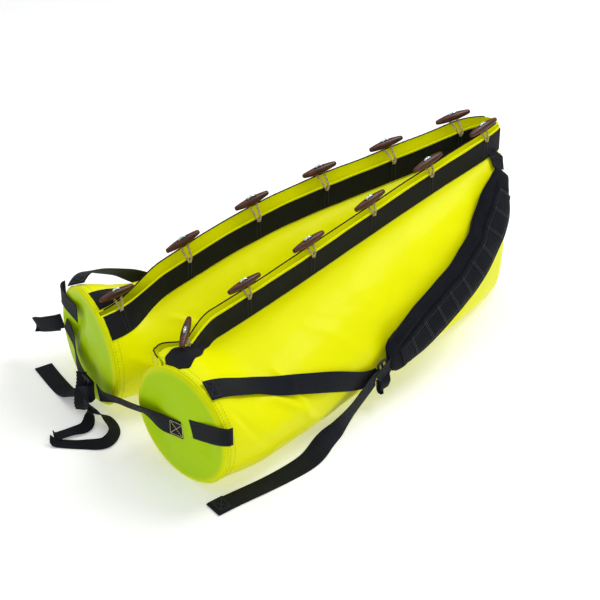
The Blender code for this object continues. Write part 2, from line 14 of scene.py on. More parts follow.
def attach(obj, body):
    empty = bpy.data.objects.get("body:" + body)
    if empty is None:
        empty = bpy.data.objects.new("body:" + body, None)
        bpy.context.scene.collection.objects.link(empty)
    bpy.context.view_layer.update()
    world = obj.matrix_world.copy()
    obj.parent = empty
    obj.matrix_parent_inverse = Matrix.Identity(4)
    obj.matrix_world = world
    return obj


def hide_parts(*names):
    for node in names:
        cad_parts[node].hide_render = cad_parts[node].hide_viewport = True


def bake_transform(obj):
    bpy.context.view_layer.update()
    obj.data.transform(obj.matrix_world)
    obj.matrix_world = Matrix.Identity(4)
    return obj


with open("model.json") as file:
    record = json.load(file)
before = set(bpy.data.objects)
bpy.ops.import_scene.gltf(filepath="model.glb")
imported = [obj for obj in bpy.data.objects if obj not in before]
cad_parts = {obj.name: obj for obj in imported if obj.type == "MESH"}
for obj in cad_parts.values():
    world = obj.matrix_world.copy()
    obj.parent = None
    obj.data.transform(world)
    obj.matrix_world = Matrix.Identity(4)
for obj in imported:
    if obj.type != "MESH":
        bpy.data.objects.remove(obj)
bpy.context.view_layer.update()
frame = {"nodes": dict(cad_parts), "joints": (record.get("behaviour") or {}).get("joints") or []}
joints = {joint["name"]: joint for joint in frame["joints"]}

# Driving dimensions of the halves, the same as the CAD's
HALF_LENGTH = 0.455                # half of a half's length
LENGTH = 2 * HALF_LENGTH
CAP_RADIUS = 0.120
CAP_OFFSET = 0.157                 # round end's centre to the centre plane
SPLAY = radians(7.7)
SLIT_LEAN = radians(27.0)
SLIT_HALF_GAP = 0.0045
LIP = 0.056                        # loose height of the mouth's edges
BAND_TOP = 0.0035                  # lip's edge to its band
BAND_WIDTH = 0.049
CAP_BEND = 0.17                    # station where the round section has become a teardrop
NOSE_START, NOSE_GAP, NOSE_DEPTH, NOSE_RISE = 0.93, 0.0016, 0.0090, 0.02
LIP_START, LIP_SPLIT, LIP_END = 0.133, 0.514, 0.860
FLAT_BELOW = 0.004                 # cloth lower than this lies on the floor
SAMPLES = 384
CLOTH = 0.0016                     # thicknesses of cloth and webbing
WEB = 0.0018
BAND_LIFT = 0.0021                 # band's outer face above the cloth
STRAP_WIDTH, END_STRAP_WIDTH = 0.040, 0.038
UP = np.array((0.0, 0.0, 1.0))
SIDES = {"right": -1.0, "left": 1.0}
HINGE = np.array(joints["fold_hinge"]["pos_m"])
SHIFT = HINGE - np.array((0.4595, 0.0, 0.0))


def smooth(t):
    t = np.clip(t, 0.0, 1.0)
    return t * t * (3.0 - 2.0 * t)


def through(*knots):
    """A smooth curve through (station, value) knots."""
    def value(s):
        i = 0
        while i < len(knots) - 2 and s > knots[i + 1][0]:
            i += 1
        (s0, v0), (s1, v1) = knots[i], knots[i + 1]
        before = knots[max(i - 1, 0)]
        after = knots[min(i + 2, len(knots) - 1)]
        m0 = (v1 - before[1]) / (s1 - before[0]) * (s1 - s0)
        m1 = (after[1] - v0) / (after[0] - s0) * (s1 - s0)
        t = min(1.0, max(0.0, (s - s0) / (s1 - s0)))
        return ((2 * t**3 - 3 * t**2 + 1) * v0 + (t**3 - 2 * t**2 + t) * m0
                + (3 * t**2 - 2 * t**3) * v1 + (t**3 - t**2) * m1)
    return value


LIP_AT_CAP = {"right": 0.070, "left": 0.108}      # near lip's distance from the centre plane at the cap
LIP_AT_FOLD = {"right": 0.0165, "left": 0.028}    # and at the fold
LIP_DRAW_IN = {"right": 1.2, "left": 2.0}         # power with which it draws in towards the fold
CAP_TOP = CAP_RADIUS * (1 + cos(SLIT_LEAN))
FOLD_HEIGHT = pi * CAP_RADIUS - 0.009             # half the cap's girth, less the turn of the fold
FAR_STEP = {
    "right": (through((0, -0.012), (0.5, -0.0105), (1, -0.009)), through((0, 0.006), (1, 0.006))),
    "left": (through((0, 0.020), (0.5, 0.023), (0.9, 0.024), (1, 0.020)),
             through((0, 0.012), (0.5, 0.013), (1, 0.010))),
}
OUTER_REACH = through((0, 0.277), (0.1, 0.268), (0.3, 0.235), (0.5, 0.198), (0.7, 0.163), (0.85, 0.128),
                      (0.93, 0.098), (1, 0.075))
INNER_REACH = through((0, 0.037), (0.25, 0.012), (0.5, 0.004), (0.9, 0.0016), (1, 0.0016))
REACH_HEIGHT = through((0, 0.11), (0.5, 0.10), (1, 0.14))


# ---------------------------------------------------------------- cloth sections

def quarter(centre, first, last, power):
    """A rounded corner from first to last about centre; power 2 is an ellipse, more is squarer."""
    angle = np.linspace(0, pi / 2, 61)[1:]
    u = np.maximum(0.0, np.cos(angle)) ** (2 / power)
    v = np.sin(angle) ** (2 / power)
    centre, first, last = np.array(centre), np.array(first), np.array(last)
    return centre + (first - centre) * u[:, None] + (last - centre) * v[:, None]


def arc_lengths(points):
    """Length along a path up to each of its points."""
    return np.r_[0.0, np.cumsum(np.linalg.norm(np.diff(points, axis=0), axis=1))]


def along(points, lengths, arcs):
    """Points of a path at given lengths along it."""
    return np.stack([np.interp(arcs, lengths, points[:, k]) for k in range(points.shape[1])], 1)


def near_lip(side, s):
    """Distance from the centre plane and height of the near lip's edge, from cap to fold."""
    reach, end = LIP_AT_CAP[side], LIP_AT_FOLD[side]
    distance = reach + (end - reach) * s ** LIP_DRAW_IN[side]
    if side == "right":
        low, high = CAP_TOP + 0.008, FOLD_HEIGHT
        return distance, low + (high - low) * (s - 0.2 * sin(2 * pi * s) / (2 * pi))
    low, high = CAP_TOP - 0.002, FOLD_HEIGHT - 0.002
    return distance, low + (high - low) * s + 0.0455 * sin(pi * s) ** 2 * (1 - s)


def lip_edges(side, s):
    """Edges of the outer and the inner lip, as (distance from the centre plane, height)."""
    near = near_lip(side, s)
    far = (near[0] + FAR_STEP[side][0](s), near[1] + FAR_STEP[side][1](s))
    return (near, far) if side == "right" else (far, near)


class Section:
    """One cross-section of a half as (distance from the centre plane, height) along its cloth."""

    def __init__(self, side, s):
        gap = SLIT_HALF_GAP / CAP_RADIUS
        angle = pi / 2 - SLIT_LEAN + gap + (2 * pi - 2 * gap) * np.linspace(0, 1, SAMPLES + 1)
        ring = np.stack([CAP_OFFSET - CAP_RADIUS * np.cos(angle), CAP_RADIUS + CAP_RADIUS * np.sin(angle)], 1)
        share = float(smooth(s / CAP_BEND))
        points = ring * (1 - share) + self.teardrop(side, s) * share
        points = self.close_nose(points, s)
        self.points = np.stack([points[:, 0], np.where(points[:, 1] < FLAT_BELOW, 0.0, points[:, 1])], 1)
        self.lengths = arc_lengths(self.points)
        self.length = self.lengths[-1]

    @staticmethod
    def teardrop(side, s):
        (outer, outer_top), (inner, inner_top) = lip_edges(side, s)
        low, high, level = INNER_REACH(s), OUTER_REACH(s), REACH_HEIGHT(s)
        base = (low + high) / 2
        points = np.vstack([
            [(outer, outer_top), (outer, outer_top - LIP)],
            quarter((outer, level), (outer, outer_top - LIP), (high, level), 1.75),
            quarter((base, level), (high, level), (base, 0.0), 2.5),
            quarter((base, level), (base, 0.0), (low, level), 2.5),
            quarter((inner, level), (low, level), (inner, inner_top - LIP), 1.75),
            [(inner, inner_top)]])
        lengths = arc_lengths(points)
        return along(points, lengths, np.linspace(0, lengths[-1], SAMPLES + 1))

    @staticmethod
    def close_nose(points, s):
        t = (s - NOSE_START) / (1 - NOSE_START)
        if t <= 0:
            return points
        keep = sqrt(max(0.0, 1 - t * t))
        rise = NOSE_RISE * (1 - keep)
        top = points[:, 1].max()
        outward = 1 - smooth((np.linspace(0, 1, SAMPLES + 1) - 0.46) / 0.08)
        flat = NOSE_GAP + (NOSE_DEPTH - NOSE_GAP) * outward
        return np.stack([flat + (points[:, 0] - flat) * keep, rise + points[:, 1] * (top - rise) / top], 1)

    def at(self, arcs):
        arcs = np.asarray(arcs, float)
        return along(self.points, self.lengths, np.where(arcs < 0, self.length + arcs, arcs))


SECTIONS = {}


def section_at(side, s):
    key = (side, round(float(s), 6))
    if key not in SECTIONS:
        SECTIONS[key] = Section(side, float(s))
    return SECTIONS[key]


def place(side, s, e, z):
    """Row-frame points of (distance from the centre plane, height) at station s."""
    e, z = np.asarray(e, float), np.asarray(z, float)
    axis = CAP_OFFSET * (1 - s)
    turn = SPLAY * (1 - float(smooth(s)))
    x = -HALF_LENGTH + LENGTH * s + (e - axis) * sin(turn)
    y = (axis + (e - axis) * cos(turn)) * SIDES[side]
    return np.stack([x, y, z + 0 * e], -1) + SHIFT


def bare_grid(side, stations, arcs_of):
    """Points of the undisturbed cloth; arcs_of(section) gives each row's arcs."""
    rows = []
    for s in stations:
        section = section_at(side, s)
        flat = section.at(arcs_of(section))
        rows.append(place(side, s, flat[:, 0], flat[:, 1]))
    return np.array(rows)


def normalized(v):
    return v / np.maximum(1e-12, np.linalg.norm(v, axis=-1))[..., None]


def grid_normals(side, grid):
    by_station = np.gradient(grid, axis=0)
    by_arc = np.gradient(grid, axis=1)
    return normalized(np.cross(by_arc, by_station) * -SIDES[side])


def softened(points):
    """Each inner point averaged with its neighbours."""
    return (points[:-2] + 2 * points[1:-1] + points[2:]) / 4


def tangents(path):
    return normalized(np.gradient(path, axis=0))


def squared(across, along_path):
    """Width directions made square to the path's own direction."""
    return normalized(across - along_path * np.sum(across * along_path, 1)[:, None])


def fractal(x, y, seed):
    """Soft noise of two arrays, about -1 to 1."""
    roughness, spacing, octaves = 0.9, 2.1, 3
    flat = [noise.fractal(Vector((a, b, seed)), roughness, spacing, octaves)
            for a, b in zip(x.ravel(), y.ravel())]
    return np.array(flat).reshape(x.shape)


def crease(s, arc, start, end, width, height):
    """A soft ridge in the cloth between two (station, arc) points, fading at its ends."""
    ax, ay = start[0] * LENGTH, start[1]
    bx, by = end[0] * LENGTH, end[1]
    px, py = s * LENGTH, arc
    length = (bx - ax) ** 2 + (by - ay) ** 2
    t = ((px - ax) * (bx - ax) + (py - ay) * (by - ay)) / length
    off = np.hypot(px - ax - t * (bx - ax), py - ay - t * (by - ay))
    fade = smooth((t + 0.15) / 0.4) * smooth((1.15 - t) / 0.4)
    return height * np.exp(-(off / width) ** 2) * fade


CREASES = {
    "right": [((0.13, 0.20), (0.27, 0.33), 0.010, 0.0045), ((0.20, 0.17), (0.23, 0.30), 0.008, 0.0040),
              ((0.03, 0.15), (0.12, 0.29), 0.009, -0.0026), ((0.30, 0.10), (0.44, 0.27), 0.016, 0.0012),
              ((0.45, 0.30), (0.62, 0.12), 0.022, -0.0014), ((0.88, 0.10), (0.80, 0.30), 0.016, -0.0024),
              ((0.70, 0.08), (0.60, 0.16), 0.014, 0.0010), ((0.97, 0.20), (0.75, 0.34), 0.018, 0.0026)],
    "left": [((0.10, 0.18), (0.26, 0.33), 0.010, 0.0045), ((0.22, 0.14), (0.36, 0.28), 0.012, 0.0030),
             ((0.03, 0.15), (0.12, 0.29), 0.009, -0.0030), ((0.45, 0.30), (0.62, 0.12), 0.020, -0.0025),
             ((0.88, 0.10), (0.80, 0.30), 0.016, -0.0030), ((0.97, 0.20), (0.75, 0.34), 0.018, 0.0030)],
}
INNER_CREASES = [((0.04, 0.10), (0.20, 0.24), 0.010, 0.0035), ((0.14, 0.09), (0.22, 0.16), 0.007, 0.0026),
                 ((0.36, 0.09), (0.30, 0.22), 0.012, 0.0026), ((0.55, 0.09), (0.62, 0.20), 0.014, -0.0022)]


def relief(side, s, arc, from_inner):
    """How far the cloth stands off its smooth shape, outward."""
    px = s * LENGTH
    seed = 3.1 if side == "right" else 8.7
    on_wall = smooth((arc - LIP) / 0.05) * smooth((from_inner - LIP) / 0.05)
    clear = on_wall * smooth((1 - s) / 0.08) * smooth(s / 0.05)
    lift = 0.0022 * fractal(px * 6, arc * 7, seed) * clear
    lift += 0.0009 * fractal(px * 16, arc * 22, seed + 4) * clear
    for start, end, width, height in CREASES[side]:
        lift += crease(s, arc, start, end, width, height) * on_wall
    for start, end, width, height in INNER_CREASES:
        lift += crease(s, from_inner, start, end, width, height) * on_wall
    pucker = np.sin(arc * 2 * pi / 0.021 + 2.0 * fractal(arc * 9, px * 0 + seed, 2.0))
    lift += 0.0007 * pucker * np.exp(-s / 0.016) * smooth(s / 0.004)
    return lift


WAVE_START, WAVE_PITCH = 0.073, 0.1579    # the lips sway from toggle to toggle


def lip_wave(side, s, arc, from_inner):
    """Sideways and upward sway of the loose lips, (outward, up); the right one is pushed in at its cap."""
    px = s * LENGTH
    loose = smooth((s - 0.05) / 0.1) * smooth((0.97 - s) / 0.08)
    outer = smooth((LIP - arc) / LIP)
    inner = smooth((LIP - from_inner) / LIP)
    phase = (px - WAVE_START) / WAVE_PITCH * 2 * pi
    seed = 1.7 if side == "right" else 5.9
    wild = fractal(px * 9, px * 0, seed)
    far, near = (inner, outer) if side == "right" else (outer, inner)
    way = -1 if side == "right" else 1
    swing = far * loose * way * (0.0022 * (1 - np.cos(phase)) + 0.0022 * wild)
    swing += near * loose * way * 0.0012 * fractal(px * 7, px * 0, seed + 2)
    dip = -far * loose * (0.0022 * (1 - np.cos(phase)) + 0.0012 * wild)
    if side == "right":
        rise = smooth((s - 0.002) / 0.022) * smooth((0.088 - s) / 0.050)
        push = smooth((s - 0.010) / 0.045) * smooth((0.150 - s) / 0.060)
        push = push * smooth(arc / 0.040) * smooth((0.160 - arc) / 0.105)
        swing -= rise * (0.044 * near + 0.050 * far) + 0.016 * push
        dip += 0.012 * push - rise * (0.008 * near + 0.004 * far)
    return swing, dip


class Cloth:
    """One half's cloth as a fine grid of points with smooth normals."""

    def __init__(self, side):
        self.side = side
        lip_arcs = np.linspace(0, LIP, 15)
        middle = 156
        nose = NOSE_START + (1 - NOSE_START) * np.sin(np.linspace(0, pi / 2, 30))
        self.stations = np.r_[np.linspace(0, LIP_START, 33), np.linspace(LIP_START, LIP_SPLIT, 84)[1:],
                              np.linspace(LIP_SPLIT, LIP_END, 76)[1:],
                              np.linspace(LIP_END, NOSE_START, 18)[1:], nose[1:]]
        self.columns = len(lip_arcs) * 2 + middle - 1
        self.lip_column = len(lip_arcs) - 1

        def arcs_of(section):
            wall = np.linspace(LIP, section.length - LIP, middle + 1)[1:-1]
            return np.r_[lip_arcs, wall, section.length - lip_arcs[::-1]]

        bare = bare_grid(side, self.stations, arcs_of)
        self.arc = np.array([arcs_of(section_at(side, s)) for s in self.stations])
        lengths = np.array([section_at(side, s).length for s in self.stations])[:, None]
        self.from_inner = lengths - self.arc
        self.s = self.stations[:, None] + 0 * self.arc
        normals = grid_normals(side, bare)
        lift = relief(side, self.s, self.arc, self.from_inner)
        swing, dip = lip_wave(side, self.s, self.arc, self.from_inner)
        grid = bare + normals * lift[:, :, None]
        grid[:, :, 1] += swing * SIDES[side]
        grid[:, :, 2] += dip
        grid[:, :, 2] = np.where(bare[:, :, 2] < 0.02, np.maximum(grid[:, :, 2], 0.0002), grid[:, :, 2])
        self.grid = grid
        self.normals = grid_normals(side, grid)

    def row(self, s):
        return int(np.argmin(np.abs(self.stations - s)))

    def sample(self, s, arc, lift=0.0):
        """Point and outward normal at (station, arc); a negative arc counts from the inner edge."""
        i = np.interp(s, self.stations, np.arange(len(self.stations)))
        i0 = min(int(i), len(self.stations) - 2)
        t = i - i0
        points, normals = [], []
        for k in (i0, i0 + 1):
            target = arc if arc >= 0 else self.arc[k, -1] + arc
            points.append(along(self.grid[k], self.arc[k], [target])[0])
            normals.append(along(self.normals[k], self.arc[k], [target])[0])
        point = points[0] * (1 - t) + points[1] * t
        normal = normals[0] * (1 - t) + normals[1] * t
        normal = normal / np.linalg.norm(normal)
        return point + normal * lift, normal

    def spots(self, *marks):
        """Points at (station, arc, lift) marks."""
        return [self.sample(*mark)[0] for mark in marks]


# ---------------------------------------------------------------- meshes

def show(name, data):
    """An object of the scene with this mesh, lamp or camera."""
    made = bpy.data.objects.new(name, data)
    bpy.context.scene.collection.objects.link(made)
    return made


def vertex_points(made):
    return np.array([v.co for v in made.data.vertices])


def move_vertices(made, points):
    made.data.vertices.foreach_set("co", points.astype(np.float32).ravel())


def belongs(made, body, node=None):
    """Puts a piece on a body; a piece given two bodies with a start and an end only has its transform baked
    in. Hides the CAD node it stands for, if given.
    """
    if isinstance(body, tuple):
        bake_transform(made)
    else:
        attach(made, body)
    if node:
        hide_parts(node)


def set_painted_shade(mesh, painted_shades):
    """How much of the painted shade colour each point of the cloth takes."""
    mesh.attributes.new("painted_shade", "FLOAT", "POINT").data.foreach_set("value", np.asarray(painted_shades, np.float32))


def mesh_object(name, vertices, faces, material, loop_normals=None, uv=None, painted_shade=None):
    mesh = bpy.data.meshes.new(name)
    mesh.from_pydata([tuple(map(float, v)) for v in vertices], [], [tuple(map(int, f)) for f in faces])
    if uv is not None:
        layer = mesh.uv_layers.new(name="strap")
        layer.data.foreach_set("uv", np.asarray(uv, np.float32).ravel())
    if painted_shade is not None:
        set_painted_shade(mesh, painted_shade)
    mesh.shade_smooth()
    if loop_normals is not None:
        mesh.normals_split_custom_set(np.asarray(loop_normals, float).tolist())
    mesh.materials.append(material)
    return show(name, mesh)


def shell(name, grid, normals, material, thickness=CLOTH, lift=0.0, uv_grid=None, painted_shade=None):
    """A closed sheet on a grid of points: outer face lifted, thickness inward, normals kept smooth."""
    rows, columns = grid.shape[:2]
    outer = grid + normals * lift
    inner = grid + normals * (lift - thickness)
    vertices = np.vstack([outer.reshape(-1, 3), inner.reshape(-1, 3)])
    count = rows * columns
    index = np.arange(count).reshape(rows, columns)
    a, b = index[:-1, :-1].ravel(), index[:-1, 1:].ravel()
    c, d = index[1:, 1:].ravel(), index[1:, :-1].ravel()
    top = np.stack([a, b, c, d], 1)
    middle = top[len(top) // 2]
    facing = np.cross(vertices[middle[1]] - vertices[middle[0]], vertices[middle[3]] - vertices[middle[0]])
    flip = facing @ normals.reshape(-1, 3)[middle[0]] < 0
    edge = np.r_[index[0, :], index[1:, -1], index[-1, -2::-1], index[-2:0:-1, 0]]
    following = np.roll(edge, -1)
    rim = np.stack([following, edge, edge + count, following + count], 1)
    bottom = top[:, ::-1] + count
    if flip:
        top, bottom, rim = top[:, ::-1], bottom[:, ::-1], rim[:, ::-1]
    faces = np.vstack([top, bottom, rim])
    flat = normals.reshape(-1, 3)
    top_normals = flat[top].reshape(-1, 3)
    bottom_normals = -flat[bottom - count].reshape(-1, 3)
    p = vertices[rim]
    rim_normals = np.repeat(normalized(np.cross(p[:, 1] - p[:, 0], p[:, 3] - p[:, 0])), 4, axis=0)
    loops = np.vstack([top_normals, bottom_normals, rim_normals])
    uv = None
    if uv_grid is not None:
        both = np.vstack([uv_grid.reshape(-1, 2), uv_grid.reshape(-1, 2)])
        uv = both[faces].reshape(-1, 2)
    doubled = None if painted_shade is None else np.r_[painted_shade.ravel(), painted_shade.ravel()]
    return mesh_object(name, vertices, faces, material, loops, uv, doubled)


def curve_points(points, spacing):
    """A smooth path through points, resampled evenly."""
    points = [np.asarray(p, float) for p in points]
    width = len(points[0])
    fine = []
    for i in range(len(points) - 1):
        p0, p1, p2 = points[max(i - 1, 0)], points[i], points[i + 1]
        p3 = points[min(i + 2, len(points) - 1)]
        for t in np.arange(0, 1, 0.05):
            fine.append(0.5 * ((2 * p1) + (p2 - p0) * t + (2 * p0 - 5 * p1 + 4 * p2 - p3) * t * t
                               + (3 * p1 - p0 - 3 * p2 + p3) * t**3))
    fine.append(points[-1])
    fine = np.array(fine)
    lengths = arc_lengths(fine[:, :3])
    count = max(2, int(round(lengths[-1] / spacing)))
    return along(fine, lengths, np.linspace(0, lengths[-1], count + 1)).reshape(-1, width)


def ring_faces(rings, around, first=0, closed=False):
    """Faces between rings of points."""
    faces = []
    for i in range(rings if closed else rings - 1):
        low, high = first + i * around, first + (i + 1) % rings * around
        for k in range(around):
            following = (k + 1) % around
            faces.append((low + k, low + following, high + following, high + k))
    return faces


def end_faces(rings, around, first=0):
    """The two faces that close the first and the last ring."""
    last = first + (rings - 1) * around
    return [tuple(first + k for k in range(around - 1, -1, -1)), tuple(last + k for k in range(around))]


def ringed(name, vertices, uvs, rings, around, material, sharp, closed=False):
    """A solid on rings of points, with strap coordinates and edges sharp above an angle."""
    faces = ring_faces(rings, around, closed=closed) + ([] if closed else end_faces(rings, around))
    made = mesh_object(name, vertices, faces, material, uv=[uvs[q] for face in faces for q in face])
    tidy_normals(made, sharp)
    return made


# Webbing's section, thickest at its two edge cords: (share of half width, share of half thickness)
WEB_TOP = [(-1.0, 0.0), (-0.985, 0.75), (-0.93, 1.0), (-0.5, 0.92), (0.0, 0.9), (0.5, 0.92), (0.93, 1.0),
           (0.985, 0.75)]
WEB_PROFILE = WEB_TOP + [(-u, -v) for u, v in WEB_TOP]


def strap(name, path, across, widths):
    """A length of webbing along path, with its width and width direction at each point."""
    path, across = np.asarray(path, float), np.asarray(across, float)
    tangent = tangents(path)
    side_way = squared(across, tangent)
    up = np.cross(tangent, side_way)
    lengths = arc_lengths(path)
    vertices, uvs = [], []
    for i, width in enumerate(widths):
        for u, v in WEB_PROFILE:
            vertices.append(path[i] + side_way[i] * (u * width / 2) + up[i] * (v * WEB / 2))
            uvs.append((lengths[i], u * width / 2))
    return ringed(name, vertices, uvs, len(path), len(WEB_PROFILE), WEBBING, 50)


def recalculate(made):
    """Turns every face outward."""
    work = bmesh.new()
    work.from_mesh(made.data)
    bmesh.ops.recalc_face_normals(work, faces=work.faces)
    work.to_mesh(made.data)
    work.free()


def tidy_normals(made, sharp):
    """Turns every face outward and marks edges above an angle in degrees as sharp."""
    recalculate(made)
    made.data.set_sharp_from_angle(angle=radians(sharp))


def tube(name, path, radius, material, sides, closed=False):
    """A round cord along path, open with flat ends or closed into a ring."""
    path = np.asarray(path, float)
    count = len(path)
    tangent = normalized(np.roll(path, -1, 0) - np.roll(path, 1, 0)) if closed else tangents(path)
    across = UP
    if abs(tangent[0] @ across) > 0.9:
        across = np.array((0.0, 1.0, 0.0))
    lengths = arc_lengths(path)
    vertices, uvs = [], []
    for i in range(count):
        across = across - tangent[i] * (across @ tangent[i])
        across = across / np.linalg.norm(across)
        other = np.cross(tangent[i], across)
        for k in range(sides):
            angle = 2 * pi * k / sides
            vertices.append(path[i] + across * (radius * cos(angle)) + other * (radius * sin(angle)))
            uvs.append((lengths[i], k / sides))
    return ringed(name, vertices, uvs, count, sides, material, 60, closed)


# A stitch from end to end: (share of its length, height and radius as shares of the thread's radius)
STITCH_SHAPE = ((0.0, -0.4, 0.5), (0.14, 0.5, 0.95), (0.5, 0.9, 1.0), (0.86, 0.5, 0.95), (1.0, -0.4, 0.5))
STITCH_SIDES = 6


def stitches(name, path, normals, material, length, gap, radius):
    """A row of thread stitches along path, each a small closed capsule sunk at both ends."""
    path, normals = np.asarray(path, float), np.asarray(normals, float)
    lengths = arc_lengths(path)
    shares = np.array([share for share, _, _ in STITCH_SHAPE])
    vertices, faces = [], []
    start = gap / 2
    while start + length < lengths[-1]:
        points = along(path, lengths, start + length * shares)
        ups = normalized(along(normals, lengths, start + length * shares))
        sides = np.cross(tangents(points), ups)
        first = len(vertices)
        for point, up, way_side, (_, lift, r) in zip(points, ups, sides, STITCH_SHAPE):
            for k in range(STITCH_SIDES):
                angle = 2 * pi * k / STITCH_SIDES
                raised = up * radius * (lift + r * sin(angle))
                vertices.append(point + raised + way_side * radius * r * cos(angle))
        faces += ring_faces(len(STITCH_SHAPE), STITCH_SIDES, first)
        faces += end_faces(len(STITCH_SHAPE), STITCH_SIDES, first)
        start += length + gap
    made = mesh_object(name, vertices, faces, material)
    tidy_normals(made, 80)
    return made


def join(name, parts):
    """Joins mesh objects into one piece."""
    work = bmesh.new()
    material = parts[0].data.materials[0]
    with_uv = all(part.data.uv_layers for part in parts)
    for part in parts:
        work.from_mesh(part.data)
    mesh = bpy.data.meshes.new(name)
    work.to_mesh(mesh)
    work.free()
    mesh.materials.append(material)
    for part in parts:
        bpy.data.objects.remove(part)
    if not with_uv:
        while mesh.uv_layers:
            mesh.uv_layers.remove(mesh.uv_layers[0])
    return show(name, mesh)


# ---------------------------------------------------------------- materials

class Nodes:
    """A small helper for building a node material."""

    def __init__(self, name):
        self.material = bpy.data.materials.new(name)
        self.material.use_nodes = True
        self.tree = self.material.node_tree
        self.shader = self.tree.nodes["Principled BSDF"]
        coordinates = self.tree.nodes.new("ShaderNodeTexCoord")
        self.where, self.strap_way = coordinates.outputs["Object"], coordinates.outputs["UV"]

    def node(self, kind, **settings):
        made = self.tree.nodes.new(kind)
        for key, value in settings.items():
            setattr(made, key, value)
        return made

    def link(self, output, target):
        self.tree.links.new(output, target)

    def place(self, output, scale, turn=(0, 0, 0)):
        """Coordinates scaled and turned."""
        mapping = self.node("ShaderNodeMapping")
        mapping.inputs["Scale"].default_value = scale
        mapping.inputs["Rotation"].default_value = turn
        self.link(output, mapping.inputs["Vector"])
        return mapping.outputs["Vector"]

    def noise(self, vector, scale, detail=4.0, roughness=0.5):
        made = self.node("ShaderNodeTexNoise")
        made.inputs["Scale"].default_value = scale
        made.inputs["Detail"].default_value = detail
        made.inputs["Roughness"].default_value = roughness
        self.link(vector, made.inputs["Vector"])
        return made.outputs["Fac"]

    def wave(self, vector, scale, direction):
        made = self.node("ShaderNodeTexWave", bands_direction=direction, wave_profile="SIN")
        made.inputs["Scale"].default_value = scale
        made.inputs["Distortion"].default_value = 0.0
        self.link(vector, made.inputs["Vector"])
        return made.outputs["Fac"]

    def fill(self, slot, value):
        """Sets an input to a number or a colour, or links it."""
        if isinstance(value, (int, float)):
            slot.default_value = value
        elif isinstance(value, tuple):
            slot.default_value = (*value, 1.0)
        else:
            self.link(value, slot)

    def math(self, operation, a, b):
        made = self.node("ShaderNodeMath", operation=operation)
        self.fill(made.inputs[0], a)
        self.fill(made.inputs[1], b)
        return made.outputs[0]

    def scaled(self, value, factor, plus=None):
        """value * factor, and plus added to it."""
        made = self.math("MULTIPLY", value, factor)
        return made if plus is None else self.math("ADD", made, plus)

    def ramp(self, fac, *stops):
        made = self.node("ShaderNodeValToRGB")
        elements = made.color_ramp.elements
        while len(elements) < len(stops):
            elements.new(0.5)
        for element, (position, colour) in zip(elements, stops):
            element.position = position
            element.color = (*colour, 1.0)
        self.link(fac, made.inputs["Fac"])
        return made.outputs["Color"]

    def step(self, fac, low, high):
        """Nothing below low, all above high and a straight line between."""
        return self.ramp(fac, (low, (0, 0, 0)), (high, (1, 1, 1)))

    def mix(self, fac, a, b):
        made = self.node("ShaderNodeMix", data_type="RGBA")
        for value, slot in ((fac, "Factor"), (a, "A"), (b, "B")):
            self.fill(made.inputs[slot], value)
        return made.outputs["Result"]

    def bump(self, height, strength, distance, below=None):
        made = self.node("ShaderNodeBump")
        made.inputs["Strength"].default_value = strength
        made.inputs["Distance"].default_value = distance
        self.link(height, made.inputs["Height"])
        if below is not None:
            self.link(below, made.inputs["Normal"])
        return made.outputs["Normal"]

    def set(self, **values):
        names = {"colour": "Base Color", "roughness": "Roughness", "metallic": "Metallic", "normal": "Normal",
                 "coat": "Coat Weight", "coat_roughness": "Coat Roughness", "sheen": "Sheen Weight",
                 "emission": "Emission Strength", "emission_colour": "Emission Color",
                 "specular": "Specular IOR Level", "sheen_roughness": "Sheen Roughness"}
        for key, value in values.items():
            self.fill(self.shader.inputs[names[key]], value)
        return self.material


def coated_cloth(name, bright, shade):
    """Gloss-coated fluorescent cloth: scrim weave under the coating, soft handling marks, scuffed ridges, a
    second colour of painted shade mixed in by a point attribute and a faint painted glow.
    """
    n = Nodes(name)
    blotch = n.noise(n.where, 9.0, 3.0)
    fine = n.noise(n.where, 60.0, 5.0)
    # The point attribute says how much of the painted shade colour each point takes
    painted_shade = n.node("ShaderNodeAttribute", attribute_name="painted_shade").outputs["Fac"]
    varied = n.mix(n.scaled(blotch, 0.25), n.mix(painted_shade, bright, shade), tuple(0.82 * c for c in bright))
    pale = tuple(min(1.0, c * 1.06 + 0.02) for c in bright)
    colour = n.mix(n.scaled(n.step(fine, 0.62, 0.80), 0.12), varied, pale)
    weave = n.math("ADD", n.wave(n.where, 190.0, "X"), n.wave(n.where, 190.0, "Z"))
    ripple = n.bump(n.noise(n.where, 34.0, 2.0), 0.10, 0.004)
    rough = n.math("ADD", n.scaled(fine, 0.12, n.scaled(blotch, 0.16)), 0.24)
    # The emission is a painted glow: the cloth gives off a little light of its own colour, in shade as well
    return n.set(colour=colour, normal=n.bump(weave, 0.05, 0.0004, ripple), roughness=rough, specular=0.07,
                 coat=0.03, coat_roughness=0.12, emission_colour=colour, emission=0.07)


def woven(name, colour, light, rib=900.0):
    """Webbing: diagonal ribs from the strap's own coordinates, lighter worn threads and fuzz."""
    n = Nodes(name)
    lean = radians(38)
    left, right = (n.wave(n.place(n.strap_way, (1, 1, 1), (0, 0, turn)), rib / 2, "X")
                   for turn in (lean, -lean))
    ribs = n.mix(n.step(n.wave(n.strap_way, 60.0, "Y"), 0.48, 0.52), left, right)
    fuzz = n.noise(n.where, 220.0, 4.0)
    wear = n.noise(n.where, 25.0, 4.0)
    shade = n.scaled(ribs, 0.55, n.scaled(fuzz, 0.35))
    tint = n.mix(n.scaled(shade, n.math("ADD", wear, 0.15)), colour, light)
    height = n.bump(ribs, 0.55, 0.0006, n.bump(fuzz, 0.3, 0.0005))
    return n.set(colour=tint, normal=height, roughness=n.scaled(fuzz, 0.25, 0.55), sheen=0.03,
                 sheen_roughness=0.4, specular=0.16)


